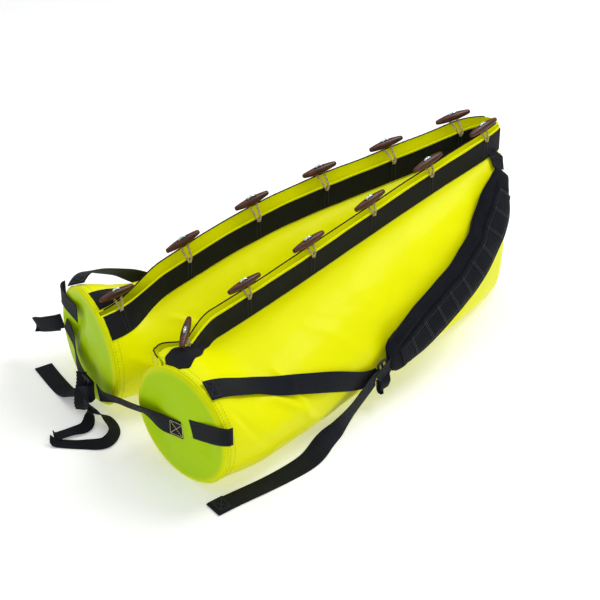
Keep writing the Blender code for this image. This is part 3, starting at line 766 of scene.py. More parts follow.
def ribbed_mesh(name, colour, light):
    """Spacer mesh over foam: small holes and soft ribs."""
    n = Nodes(name)
    cells = n.node("ShaderNodeTexVoronoi", feature="DISTANCE_TO_EDGE")
    cells.inputs["Scale"].default_value = 520.0
    n.link(n.where, cells.inputs["Vector"])
    holes = n.step(cells.outputs["Distance"], 0.05, 0.3)
    fuzz = n.noise(n.where, 140.0, 4.0)
    tint = n.mix(n.scaled(holes, n.math("ADD", fuzz, 0.1)), light, colour)
    height = n.bump(holes, 0.5, 0.0006, n.bump(fuzz, 0.25, 0.001))
    return n.set(colour=tint, normal=height, roughness=n.scaled(fuzz, 0.2, 0.62), sheen=0.02,
                 sheen_roughness=0.45, specular=0.10)


def lacquered_wood(name, dark, middle, light, worn):
    """Turned hardwood: grain drawn out along the toggle, open pores and thin lacquer."""
    n = Nodes(name)
    grain = n.noise(n.place(n.where, (10, 160, 160)), 1.6, 8.0, 0.62)
    pores = n.noise(n.place(n.where, (60, 900, 900)), 1.0, 3.0)
    wood = n.ramp(grain, (0.28, dark), (0.5, middle), (0.74, light))
    colour = n.mix(n.scaled(n.step(pores, 0.60, 0.75), 0.3), wood, worn)
    height = n.bump(grain, 0.25, 0.0006, n.bump(pores, 0.15, 0.0003))
    return n.set(colour=colour, normal=height, roughness=n.scaled(grain, 0.2, 0.28), coat=0.12,
                 coat_roughness=0.2, specular=0.3)


def braided(name, dark, middle, light):
    """Cord braided from threads of three shades."""
    n = Nodes(name)
    twist = n.wave(n.place(n.strap_way, (1400, 1.0, 1)), 1.0, "DIAGONAL")
    base = n.ramp(n.noise(n.where, 700.0, 2.0), (0.38, dark), (0.5, middle), (0.62, light))
    return n.set(colour=n.mix(n.scaled(twist, 0.35), base, dark), normal=n.bump(twist, 0.5, 0.0004),
                 roughness=0.72, sheen=0.2)


def moulded(name, colour, roughness):
    """Moulded plastic with a fine grain and scuffs."""
    n = Nodes(name)
    grain = n.noise(n.where, 900.0, 3.0)
    scuff = n.noise(n.where, 45.0, 6.0, 0.7)
    tint = n.mix(n.scaled(n.step(scuff, 0.55, 0.72), 0.25), colour, tuple(c + 0.04 for c in colour))
    return n.set(colour=tint, normal=n.bump(grain, 0.25, 0.0002), roughness=n.scaled(scuff, 0.3, roughness),
                 specular=0.45)


def metal(name, bright, teal_highlight_tint):
    """Bright metal with fine scratches, and teal patches that paint in a highlight tint."""
    n = Nodes(name)
    scratch = n.noise(n.place(n.where, (200, 2200, 2200)), 1.0, 3.0)
    # Teal patches mixed into the colour: a painted highlight tint
    colour = n.mix(n.scaled(n.noise(n.where, 160.0, 3.0), 0.6), bright, teal_highlight_tint)
    return n.set(colour=colour, metallic=1.0, normal=n.bump(scratch, 0.1, 0.0002),
                 roughness=n.scaled(scratch, 0.25, 0.18))


def thread(name, colour):
    """Twisted sewing thread."""
    n = Nodes(name)
    twist = n.wave(n.where, 2400.0, "DIAGONAL")
    tint = n.mix(n.scaled(twist, 0.4), colour, tuple(0.55 * c for c in colour))
    return n.set(colour=tint, normal=n.bump(twist, 0.4, 0.0002), roughness=0.6, sheen=0.2)


# The second colour is the green of painted shade, taken by the round ends and the cloth beside them
CLOTH_SKIN = coated_cloth("coated_cloth", (0.82, 0.84, 0.0), (0.40, 0.68, 0.0))
WEBBING = woven("webbing_weave", (0.0022, 0.0030, 0.0055), (0.012, 0.017, 0.028))
BAND = woven("band_weave", (0.0022, 0.0028, 0.0045), (0.010, 0.012, 0.019))
PADDING = ribbed_mesh("padding_mesh", (0.0014, 0.0018, 0.0030), (0.005, 0.0065, 0.011))
PIPING = woven("piping_weave", (0.0028, 0.0036, 0.006), (0.013, 0.016, 0.026), 1200.0)
WOOD = lacquered_wood("toggle_wood_grain", (0.014, 0.004, 0.002), (0.062, 0.015, 0.005),
                      (0.145, 0.042, 0.016), (0.16, 0.06, 0.035))
CORD = braided("cord_braid", (0.10, 0.065, 0.02), (0.55, 0.42, 0.12), (0.80, 0.72, 0.34))
PLASTIC = moulded("buckle_moulding", (0.008, 0.009, 0.012), 0.30)
# The second colour is a teal painted highlight tint
METAL = metal("ring_metal", (0.72, 0.80, 0.80), (0.35, 0.60, 0.58))
DARK_THREAD = thread("dark_thread", (0.02, 0.02, 0.03))
PALE_THREAD = thread("pale_thread", (0.75, 0.68, 0.35))
YELLOW_THREAD = thread("yellow_thread", (0.52, 0.50, 0.02))


# ---------------------------------------------------------------- cloth pieces

cloth = {side: Cloth(side) for side in SIDES}


def cut(name, side, rows, columns):
    """A piece of the half's cloth between two rows and two columns of its grid, with painted shade beside the
    cap.
    """
    c = cloth[side]
    area = (slice(rows[0], rows[1] + 1), slice(columns[0], columns[1] + 1))
    # Painted shade that fades out within a few centimetres of the cap
    painted_shade = 0.25 * np.exp(-c.s[area] / 0.012)
    return shell(name, c.grid[area], c.normals[area], CLOTH_SKIN, painted_shade=painted_shade)


def lip_body(side, which, label):
    """Bodies of a length of lip: the half for the lengths at the ends, or the half and the lip with a start
    and an end point for the middle lengths.
    """
    half, lip = side + "_half", f"{side}_{which}_lip"
    if label not in ("near", "far"):
        return half
    bodies = (half, lip) if label == "near" else (lip, half)
    stations = (LIP_START, 0.215) if label == "near" else (0.785, LIP_END)
    return (*bodies, *(tuple(place(side, s, 0.05, 0.2)) for s in stations))


def build_cloth(side):
    """The wall, and each lip in four lengths: the outer two are put on the half, the middle two are given
    both the half and the lip.
    """
    c = cloth[side]
    last_row, last_column = len(c.stations) - 1, c.grid.shape[1] - 1
    start, split, end = c.row(LIP_START), c.row(LIP_SPLIT), c.row(LIP_END)
    low, high = c.lip_column, last_column - c.lip_column
    wall = cut(side + "_wall", side, (0, last_row), (low, high))
    belongs(wall, side + "_half", side + "_tube_wall")
    for which, columns in (("outer", (0, low)), ("inner", (high, last_column))):
        for label, rows in (("cap", (0, start)), ("fold", (end, last_row)), ("near", (start, split)),
                            ("far", (split, end))):
            piece = cut(f"{side}_{which}_lip_{label}", side, rows, columns)
            node = f"{side}_{which}_lip" if label in ("near", "far") else None
            belongs(piece, lip_body(side, which, label), node)


def band_grid(side, which, rows):
    """Points, normals and strap coordinates of a band along rows of the cloth."""
    c = cloth[side]
    shares = np.array((0.0, 0.012, 0.05, 0.12, 0.25, 0.4, 0.5, 0.6, 0.75, 0.88, 0.95, 0.988, 1.0))
    crown = np.array((-0.0007, -0.0001, 0.0001, 0, 0, 0, 0, 0, 0, 0, 0.0001, -0.0001, -0.0007))
    arcs = BAND_TOP + BAND_WIDTH * shares
    grid, normals, uv = [], [], []
    for i in range(rows[0], rows[1] + 1):
        s = c.stations[i]
        wander = 0.0009 * noise.noise(Vector((s * 14, 3.0 if which == "outer" else 7.0, SIDES[side])))
        spread = arcs
        if (side, which) == ("right", "outer"):
            turn = smooth((0.088 - s) / 0.040)
            wander += 0.002 + 0.011 * smooth((s - 0.004) / 0.020) * turn
            spread = BAND_TOP + (arcs - BAND_TOP) * (1 - 0.24 * turn)
        row_arcs = spread + wander if which == "outer" else c.arc[i, -1] - spread - wander
        points = along(c.grid[i], c.arc[i], row_arcs)
        n = normalized(along(c.normals[i], c.arc[i], row_arcs))
        puff = 0.0004 * noise.noise(Vector((s * 60, 5.0, SIDES[side])))
        grid.append(points + n * (crown[:, None] + puff))
        normals.append(n)
        uv.append(np.stack([0 * arcs + s * LENGTH, arcs], 1))
    return np.array(grid), np.array(normals), np.array(uv)


def build_bands(side):
    c = cloth[side]
    start, split, end = c.row(LIP_START), c.row(LIP_SPLIT), c.row(LIP_END)
    for which in ("outer", "inner"):
        spans = [("near", (start, split)), ("far", (split, end)), ("fold", (end, len(c.stations) - 1))]
        if (side, which) != ("right", "inner"):
            spans.insert(0, ("cap", (c.row(0.004), start)))
        nodes = {"cap": f"{side}_{which}_near_band", "near": f"{side}_{which}_band",
                 "far": f"{side}_{which}_band",
                 "fold": side + ("_nose_band" if which == "outer" else "_fold_band")}
        for label, rows in spans:
            grid, normals, uv = band_grid(side, which, rows)
            # The inner bands lie face to face at the fold, so they are thinner there
            inside_fold = (which, label) == ("inner", "fold")
            lift, thickness = (0.0012, 0.0010) if inside_fold else (BAND_LIFT, 0.0017)
            piece = shell(f"{side}_{which}_band_{label}", grid, normals, BAND, thickness, lift, uv_grid=uv)
            belongs(piece, lip_body(side, which, label), nodes[label])


def cap_dent(side, e, z):
    """How far the round end stands out at a point, in soft dents and the left one's long fold."""
    seed = 2.3 if side == "right" else 6.1
    dent = 0.0062 * noise.noise(Vector((e * 11, z * 11, seed)))
    dent += 0.0022 * noise.noise(Vector((e * 27, z * 27, seed)))
    if side == "left":
        line = (e - 0.205) * 0.93 + (z - 0.150) * 0.36
        return dent - 0.010 * np.exp(-(line / 0.022) ** 2) * smooth((z - 0.05) / 0.05)
    dent -= 0.0060 * np.exp(-((e - 0.085) ** 2 + (z - 0.075) ** 2) / 0.035 ** 2)
    return dent - 0.0045 * np.exp(-((e - 0.235) ** 2 + (z - 0.105) ** 2) / 0.030 ** 2)


def build_cap(side):
    """The round end: a disc turned over at its rim, dented where nothing fills it, its face green with
    painted shade.
    """
    around = 144
    profile = [(CAP_RADIUS - 0.0085 * (1 - cos(angle)), 0.0005 + 0.0065 * sin(angle))
               for angle in np.linspace(0, pi / 2, 14)]
    inner = profile[-1][0]
    profile += [(inner * (1 - t), 0.0070 + 0.0015 * sin(t * pi / 2)) for t in np.linspace(0, 1, 34)[1:-1]]
    vertices, painted_shades = [], []
    for radius, out in profile:
        inside = float(smooth((0.112 - radius) / 0.05))
        for k in range(around):
            angle = 2 * pi * k / around
            e = CAP_OFFSET + radius * cos(angle)
            z = CAP_RADIUS + radius * sin(angle)
            depth = out + min(0.002, cap_dent(side, e, z)) * inside
            vertices.append(place(side, -depth / LENGTH, e, max(z, 0.0003)))
            # Painted shade: the face takes the full green shade colour, the turned-over rim only a quarter of
            # it, as if lit
            painted_shades.append(0.25 + 0.75 * float(smooth((CAP_RADIUS - radius) / 0.016)))
    centre, base = len(vertices), len(vertices) - around
    vertices.append(np.mean(vertices[base:], axis=0))
    faces = ring_faces(len(profile), around)
    faces += [(base + k, base + (k + 1) % around, centre) for k in range(around)]
    made = mesh_object(side + "_cap", vertices, faces, CLOTH_SKIN, painted_shade=painted_shades + [1.0])
    recalculate(made)
    outward = place(side, -0.02, CAP_OFFSET, CAP_RADIUS) - place(side, 0.0, CAP_OFFSET, CAP_RADIUS)
    if np.array(made.data.polygons[-1].normal) @ outward < 0:
        made.data.flip_normals()
    thick = made.modifiers.new("thickness", "SOLIDIFY")
    thick.thickness = CLOTH
    thick.offset = -1.0
    belongs(made, side + "_half", side + "_end_cap")


def build_rim(side):
    """The seam that joins cap and wall: a welt on the edge and two rows of stitching."""
    c = cloth[side]
    welt = [c.sample(0.0005, arc, 0.0006)[0] for arc in np.linspace(0.002, c.arc[0, -1] - 0.002, 190)]
    welt = [(x, y, max(z, 0.0014)) for x, y, z in welt]
    made = tube(side + "_rim_welt", welt, 0.0013, CLOTH_SKIN, 8)
    # A little painted shade on the welt
    set_painted_shade(made.data, np.full(len(made.data.vertices), 0.1))
    belongs(made, side + "_half")
    rows = []
    for s in (0.0050, 0.0160):
        line = [c.sample(s, arc) for arc in np.linspace(0.004, c.arc[0, -1] - 0.004, 260)]
        path = [(x, y, max(z, 0.0009)) for (x, y, z), _ in line]
        normals = [normal for _, normal in line]
        rows.append(stitches("row", path, normals, YELLOW_THREAD, 0.0042, 0.0024, 0.0005))
    belongs(join(side + "_rim_stitches", rows), side + "_half")


def build_fold():
    """The cloth that runs round the fold from half to half, behind the two noses."""
    grid = []
    for share in np.linspace(0.004, 1.0, 70):
        ends = []
        for side in SIDES:
            outer = cloth[side].grid[-1, : cloth[side].grid.shape[1] // 2]
            z = outer[:, 2]
            order = np.argsort(z)
            target = z.min() + (z.max() - z.min()) * share
            ends.append(np.array([np.interp(target, z[order], outer[order, k]) for k in range(3)]))
        a, b = ends
        row = []
        for t in np.linspace(0, 1, 13):
            point = a * (1 - t) + b * t
            point[0] = max(a[0], b[0]) - 0.0006 + 0.0016 * sin(pi * t)
            row.append(point)
        grid.append(row)
    grid = np.array(grid)
    normals = normalized(np.cross(np.gradient(grid, axis=1), np.gradient(grid, axis=0)))
    if normals[30, 6, 0] < 0:
        normals = -normals
    made = shell("fold_cloth", grid, normals, CLOTH_SKIN, 0.0010, painted_shade=np.zeros(grid.shape[:2]))
    ends = (tuple(HINGE - (0, 0.008, 0)), tuple(HINGE + (0, 0.008, 0)))
    belongs(made, ("right_half", "left_half", *ends))


for side in SIDES:
    build_cloth(side)
    build_bands(side)
    build_cap(side)
    build_rim(side)
build_fold()


# ---------------------------------------------------------------- toggles and cords

TOGGLE_FIRST = {"right": 0.080, "left": 0.048}
TOGGLE_STEP = {"right": 0.1735, "left": 0.1760}
TOGGLE_COUNT = 6
# Half a toggle from its tip to its middle: (distance from the tip, radius)
TOGGLE_PROFILE = ((0.0, 0.0), (0.0, 0.0022), (0.0006, 0.0034), (0.0022, 0.0045), (0.006, 0.0053),
                  (0.012, 0.0062), (0.019, 0.0071), (0.026, 0.0078), (0.033, 0.0082), (0.0395, 0.0083))
HOLE_REACH = 0.0085                # toggle's middle to each cord hole


def node_frame(node):
    """Middle and long direction of a CAD node's own mesh."""
    points = vertex_points(frame["nodes"][node])
    middle = (points.min(0) + points.max(0)) / 2
    for _ in range(2):
        way = np.linalg.svd(points - middle)[2][0]
        reach = (points - middle) @ way
        middle = middle + way * (reach.min() + reach.max()) / 2
    return middle, way if way[0] > 0 else -way


def lathe(name, centre, way, profile, material):
    """A turned solid about an axis from (distance along, radius) pairs."""
    sides = 32
    up = np.cross(way, np.array((0.0, 1.0, 0.0)))
    up = up / np.linalg.norm(up)
    across = np.cross(way, up)
    vertices = [centre + way * profile[0][0]]
    for distance, radius in profile[1:-1]:
        for k in range(sides):
            angle = 2 * pi * k / sides
            vertices.append(centre + way * distance + (up * cos(angle) + across * sin(angle)) * radius)
    vertices.append(centre + way * profile[-1][0])
    rings = len(profile) - 2
    faces = [(0, 1 + (k + 1) % sides, 1 + k) for k in range(sides)] + ring_faces(rings, sides, 1)
    base = 1 + (rings - 1) * sides
    faces += [(base + k, base + (k + 1) % sides, len(vertices) - 1) for k in range(sides)]
    made = mesh_object(name, vertices, faces, material)
    tidy_normals(made, 40)
    return made


def ring(name, centre, axis, radius, thickness, material):
    """A ring of round cord or wire about an axis."""
    axis = axis / np.linalg.norm(axis)
    u = np.cross(axis, np.array((0.31, 0.87, 0.21)))
    u = u / np.linalg.norm(u)
    v = np.cross(axis, u)
    path = [centre + radius * (u * cos(a) + v * sin(a)) for a in np.linspace(0, 2 * pi, 29)[:-1]]
    return tube(name, path, thickness, material, 10, closed=True)


def near_arc(side, arc):
    """Arc on the lip that carries the cords: outer on the right half, inner on the left."""
    return arc if side == "right" else -arc


def build_toggle(side, number):
    """One wooden toggle with dark rings that paint the shade in its two holes, its metal bridge, its cord and
    the thread that holds the cord.
    """
    body = f"{side}_toggle_{number}"
    middle, way = node_frame(body)
    half = TOGGLE_PROFILE[-1][0]
    profile = [(d - half, r) for d, r in TOGGLE_PROFILE] + [(half - d, r) for d, r in TOGGLE_PROFILE[-2::-1]]
    wooden = lathe(body + "_wood", middle, way, profile, WOOD)
    # Carved by hand, so not quite straight
    points = vertex_points(wooden)
    points[:, 2] += 0.0007 * np.cos((points - middle) @ way / half * pi / 2 + number) - 0.0003
    move_vertices(wooden, points)
    belongs(wooden, body, body)
    up = UP - way * way[2]
    up = up / np.linalg.norm(up)
    # Near-black rings at the two holes stand in for the shade inside them: painted shade
    holes = [ring("hole", middle + way * reach + up * 0.0078, up, 0.0021, 0.0009, PLASTIC)
             for reach in (-HOLE_REACH, HOLE_REACH)]
    belongs(join(body + "_holes", holes), body)
    bridge = []
    for lean in (-0.0011, 0.0011):
        arch = [middle + way * (HOLE_REACH * t) + up * (0.0074 + 0.0030 * (1 - t * t) ** 0.5)
                + np.cross(way, up) * lean for t in np.linspace(-1, 1, 17)]
        bridge.append(tube("arch", arch, 0.0011, METAL, 8))
    bridge.append(ring("knot", middle + up * 0.0102, way, 0.0019, 0.0010, METAL))
    belongs(join(body + "_bridge", bridge), body)
    build_cord(side, number, middle, way, up)


def build_cord(side, number, middle, way, up):
    """Doubled cord that leaves one point on the band and spreads to the toggle's two holes."""
    s = TOGGLE_FIRST[side] + TOGGLE_STEP[side] * (number - 1)
    low, out = cloth[side].sample(s, near_arc(side, 0.009), 0.0030)
    edge, _ = cloth[side].sample(s, near_arc(side, 0.0015), 0.0036)
    parts = []
    for spread in (-1.25, -0.85, 0.85, 1.25):
        slant = spread * 0.0024
        hole = middle + way * (HOLE_REACH * spread)
        foot = low + way * slant * 0.8 + out * 0.0006
        rim = edge + way * slant * 1.6 + out * 0.0004
        halfway = (rim + hole) / 2 - UP * 0.0012
        path = curve_points([foot, rim, halfway, hole - up * 0.0062, hole - up * 0.0030], 0.0016)
        parts.append(tube("strand", path, 0.00125, CORD, 8))
    for k in range(5):
        centre = low + (edge - low) * (0.15 + 0.17 * k) + out * 0.0004
        parts.append(ring("whipping", centre, edge - low, 0.0030, 0.0008, CORD))
    lip = {"right": "right_outer_lip", "left": "left_inner_lip"}[side]
    holder = lip if LIP_START < s < LIP_END else side + "_half"
    belongs(join(f"{side}_cord_{number}_strands", parts),
            (holder, f"{side}_toggle_{number}", tuple(edge), tuple(middle)), f"{side}_cord_{number}")
    # Two rows of thread across the band, where the cord's tail is caught behind it
    rows = []
    for step in (-0.0042, 0.0042):
        line = [cloth[side].sample(s + step, near_arc(side, BAND_TOP + BAND_WIDTH * share), BAND_LIFT)
                for share in np.linspace(0.06, 0.94, 12)]
        rows.append(stitches("row", *zip(*line), DARK_THREAD, 0.0034, 0.0012, 0.0006))
    belongs(join(f"{side}_tack_{number}", rows), holder)


def build_bindings(side, which):
    """Thin dark edging on a far lip."""
    c = cloth[side]
    for label, low, high in (("cap", 0.012, LIP_START), ("near", LIP_START, LIP_SPLIT),
                             ("far", LIP_SPLIT, LIP_END), ("fold", LIP_END, 0.992)):
        path = c.grid[c.row(low): c.row(high) + 1, 0 if which == "outer" else -1] + UP * 0.0006
        made = tube(f"{side}_{which}_binding_{label}", path, 0.0014, BAND, 8)
        belongs(made, lip_body(side, which, label))


# ---------------------------------------------------------------- webbing on the wall

def laid(side, marks, spacing=0.004, taut=6):
    """Path and normals through (station, arc, lift) marks, pulled taut but not into the wall."""
    fine = curve_points(marks, spacing)
    path, normals = (np.array(items) for items in zip(*(cloth[side].sample(*mark) for mark in fine)))
    wall, lifts = path - normals * fine[:, 2:3], fine[:, 2]
    for _ in range(taut):
        normals[1:-1] = normalized(softened(normals))
        path[1:-1] = softened(path)
    sunk = np.maximum(0.0, 0.7 * lifts - np.sum((path - wall) * normals, axis=1))
    path += normals * sunk[:, None]
    return path, normals


def above_floor(path, ways, width):
    """Raises a strap's path so that its lower edge stays above the floor."""
    level = squared(ways, tangents(path))
    need = np.abs(level[:, 2]) * width / 2 + WEB / 2 + 0.0003
    lifted = path.copy()
    lifted[:, 2] = np.maximum(path[:, 2], need)
    for _ in range(4):
        lifted[1:-1, 2] = np.maximum(softened(lifted[:, 2]), need[1:-1])
    return lifted


def ways_across(path, normals, hint=(0.0, 0.0, -1.0)):
    """Width directions of a strap that lies on the wall, towards the hint."""
    across = normalized(np.cross(tangents(path), normals))
    middle = len(path) // 2
    return across if across[middle] @ np.array(hint) > 0 else -across


def flat_strap(name, points, across, width, body, node=None, spacing=0.004):
    """Webbing through points with a width direction at each."""
    both = curve_points(np.hstack([np.array(points, float), np.array(across, float)]), spacing)
    ways = normalized(both[:, 3:])
    path = above_floor(both[:, :3], ways, width)
    belongs(strap(name, path, ways, [width] * len(path)), body, node)
    return path, ways


def box_stitch(name, centre, u, v, normal, body, material=DARK_THREAD):
    """A sewn rectangle with a cross inside; u and v are half sides."""
    corners = [centre - u - v, centre + u - v, centre + u + v, centre - u + v]
    rows = []
    for a, b in ((0, 1), (1, 2), (2, 3), (3, 0), (0, 2), (1, 3)):
        path = np.linspace(corners[a], corners[b], 12)
        rows.append(stitches("row", path, [normal] * len(path), material, 0.0030, 0.0012, 0.0006))
    belongs(join(name, rows), body)


def ladder_buckle(name, centre, way, across, width, length, body, node):
    """A moulded ladder buckle: two rails, three bars and a lifted tongue, fused into one body."""
    way = way / np.linalg.norm(way)
    across = across - way * (across @ way)
    across = across / np.linalg.norm(across)
    up = np.cross(way, across)

    def spot(t, u, lift):
        return centre + way * (t * length / 2) + across * (u * width / 2) + up * lift

    parts = []
    for edge in (-1, 1):
        rail = [spot(t, edge * (1 - 0.05 * t * t), 0.0012 * (1 - t * t)) for t in np.linspace(-1, 1, 15)]
        parts.append(tube("rail", rail, 0.0026, PLASTIC, 12))
    for t, lift, radius in ((-0.95, 0.0, 0.0026), (0.0, 0.0012, 0.0022), (0.95, 0.0, 0.0028)):
        parts.append(tube("bar", [spot(t, u, lift) for u in np.linspace(-1, 1, 11)], radius, PLASTIC, 12))
    for u in (-0.35, 0.0, 0.35):
        tooth = [spot(t, u, 0.0022 * (t + 0.2)) for t in (0.95, 1.25)]
        parts.append(tube("tooth", tooth, 0.0024, PLASTIC, 10))
    made = join(name, parts)
    add_remesh(made, 0.0009)
    made.modifiers.new("soften", "SMOOTH").iterations = 2
    apply_modifiers(made, PLASTIC)
    belongs(made, body, node)


def add_remesh(made, voxel):
    """Fuses what overlaps in a mesh into one closed skin."""
    fuse = made.modifiers.new("fuse", "REMESH")
    fuse.mode = "VOXEL"
    fuse.voxel_size = voxel


def apply_modifiers(made, material):
    """Replaces the object's mesh with its evaluated mesh, shaded smooth."""
    evaluated = made.evaluated_get(bpy.context.evaluated_depsgraph_get())
    mesh = bpy.data.meshes.new_from_object(evaluated)
    made.modifiers.clear()
    old = made.data
    made.data = mesh
    bpy.data.meshes.remove(old)
    mesh.shade_smooth()
    if not mesh.materials:
        mesh.materials.append(material)


# ---------------------------------------------------------------- shoulder pads

PAD_MARKS = ((0.962, 0.092, 0.017), (0.925, 0.125, 0.020), (0.850, 0.183, 0.022), (0.765, 0.225, 0.023),
             (0.675, 0.248, 0.023), (0.570, 0.268, 0.022), (0.470, 0.287, 0.017))
PAD_HALF = 0.0470                  # half width
PAD_DEPTH = 0.0074                 # half thickness
PAD_SHIFT = -0.0025                # towards the upper edge
PAD_TILT = radians(14.0)
PAD_SWELL = 0.0032                 # how far the cloth simulation may blow it up
PAD_VOXEL = 0.0046
PAD_SEAM = -0.37                   # seam between rib and flat half, as a share of the half width
PAD_WEB = (-0.28 * PAD_HALF, 0.82 * PAD_HALF)
PAD_WEB_ENDS = (0.048, 0.030)      # pad's two ends to the webbing on it
BAR_PITCH, BAR = 0.0445, 0.0075    # bars sewn across that webbing


class PadFrame:
    """The pad's centre line with its width and depth directions."""

    def __init__(self, side):
        self.path, self.normals = laid(side, PAD_MARKS, 0.006)
        self.across = ways_across(self.path, self.normals)
        self.path = self.path + self.across * PAD_SHIFT
        share = np.linspace(0, 1, len(self.path))
        tilt = (PAD_TILT * smooth(share / 0.25) * smooth((1 - share) / 0.25))[:, None]
        flat, up = self.across, self.normals
        self.across = flat * np.cos(tilt) + up * np.sin(tilt)
        self.normals = up * np.cos(tilt) - flat * np.sin(tilt)
        self.lengths = arc_lengths(self.path)
        self.total = self.lengths[-1]

    def at(self, length):
        length = np.atleast_1d(length)
        point = along(self.path, self.lengths, length)
        normal = normalized(along(self.normals, self.lengths, length))
        across = normalized(along(self.across, self.lengths, length))
        return point, normal, across

    def half_width(self, length):
        """Half width along the pad: narrow and squared at the top, full and round at the bottom."""
        top = 0.52 + 0.48 * smooth(length / 0.085)
        last = np.clip((self.total - length) / 0.040, 0, 1)
        bottom = 0.42 + 0.58 * np.sqrt(1 - (1 - last) ** 2)
        return PAD_HALF * np.minimum(top, bottom)


def pad_base(name, pad):
    """A slim closed form for the pad, before it is swelled."""
    rows = int(pad.total / 0.006)
    around = 30
    vertices = []
    for i in range(rows + 1):
        length = pad.total * i / rows
        end = min(length, pad.total - length)
        depth = PAD_DEPTH * sqrt(min(1.0, 0.25 + 0.75 * end / 0.012))
        half = float(pad.half_width(length)) - 0.001
        point, normal, across = (item[0] for item in pad.at(length))
        for k in range(around):
            angle = 2 * pi * k / around
            c, d = cos(angle), sin(angle)
            u = half * np.sign(c) * abs(c) ** 0.7
            h = depth * np.sign(d) * abs(d) ** 0.75 - 0.004 * (u / PAD_HALF) ** 2
            vertices.append(point + across * u + normal * h)
    made = mesh_object(name, vertices, ring_faces(rows + 1, around) + end_faces(rows + 1, around), PADDING)
    tidy_normals(made, 180)
    return made


def swell(made):
    """Blows the pad up with a cloth simulation, no further than PAD_SWELL from where it started."""
    add_remesh(made, PAD_VOXEL)
    apply_modifiers(made, PADDING)
    rest = vertex_points(made)
    step = simulated(made) - rest
    size = np.linalg.norm(step, axis=1)
    step *= np.minimum(1.0, PAD_SWELL / np.maximum(size, 1e-9))[:, None]
    move_vertices(made, rest + step)
    smoothing = made.modifiers.new("finer", "SUBSURF")
    smoothing.levels = 1
    smoothing.render_levels = 1
    apply_modifiers(made, PADDING)


def simulated(made):
    """Where the points of a closed cloth come to rest when air is pressed into it."""
    soft = made.modifiers.new("soft", "CLOTH")
    soft.settings.use_pressure = True
    soft.settings.uniform_pressure_force = 4.0
    soft.settings.quality = 6
    soft.settings.mass = 0.3
    soft.settings.tension_stiffness = 12.0
    soft.settings.compression_stiffness = 12.0
    soft.settings.bending_stiffness = 0.6
    soft.settings.effector_weights.gravity = 0.0
    soft.point_cache.frame_start = 1
    soft.point_cache.frame_end = 20
    scene = bpy.context.scene
    for step in range(1, 21):
        scene.frame_set(step)
    evaluated = made.evaluated_get(bpy.context.evaluated_depsgraph_get())
    moved = vertex_points(evaluated)
    made.modifiers.clear()
    scene.frame_set(1)
    return moved


def pad_relief(made, pad):
    """Presses the seam between the smooth rib and the flat half into the swelled pad."""
    points = vertex_points(made)
    fine = np.linspace(0, pad.total, 400)
    line, normal, across = pad.at(fine)
    nearest = np.array([int(np.argmin(np.sum((line - p) ** 2, axis=1))) for p in points])
    off = points - line[nearest]
    u = np.sum(off * across[nearest], axis=1) / PAD_HALF
    h = np.sum(off * normal[nearest], axis=1)
    length = fine[nearest]
    inside = smooth((length - 0.03) / 0.02) * smooth((pad.total - length - 0.03) / 0.02)
    top = smooth((h + 0.001) / 0.004)
    groove = -0.0048 * np.exp(-((u - PAD_SEAM) / 0.075) ** 2)
    rib = 0.0024 * np.exp(-((u + 0.66) / 0.24) ** 2)
    flat = -0.0016 * smooth((u + 0.16) / 0.2)
    edge = -0.0016 * np.exp(-((np.abs(u) - 0.90) / 0.06) ** 2)
    wander = 0.0006 * fractal(length * 30, u * 2, 4.4)
    move = (groove + rib + flat + edge + wander) * inside * top
    move_vertices(made, points + normal[nearest] * move[:, None])
    made.data.update()


def build_pad(side):
    body = side + "_shoulder_strap"
    pad = PadFrame(side)
    made = pad_base(side + "_pad", pad)
    swell(made)
    pad_relief(made, pad)
    belongs(made, body, side + "_shoulder_pad")
    skin = BVHTree.FromPolygons([tuple(v.co) for v in made.data.vertices],
                                [tuple(p.vertices) for p in made.data.polygons])
    build_pad_webbing(side, pad, skin, body)
    build_piping(side, pad, skin, body)


def struck(skin, start, way, reach, otherwise):
    """Where a ray meets the pad's skin, or another point if it misses."""
    hit = skin.ray_cast(Vector(start), Vector(way), reach)[0]
    return otherwise if hit is None else np.array(hit)


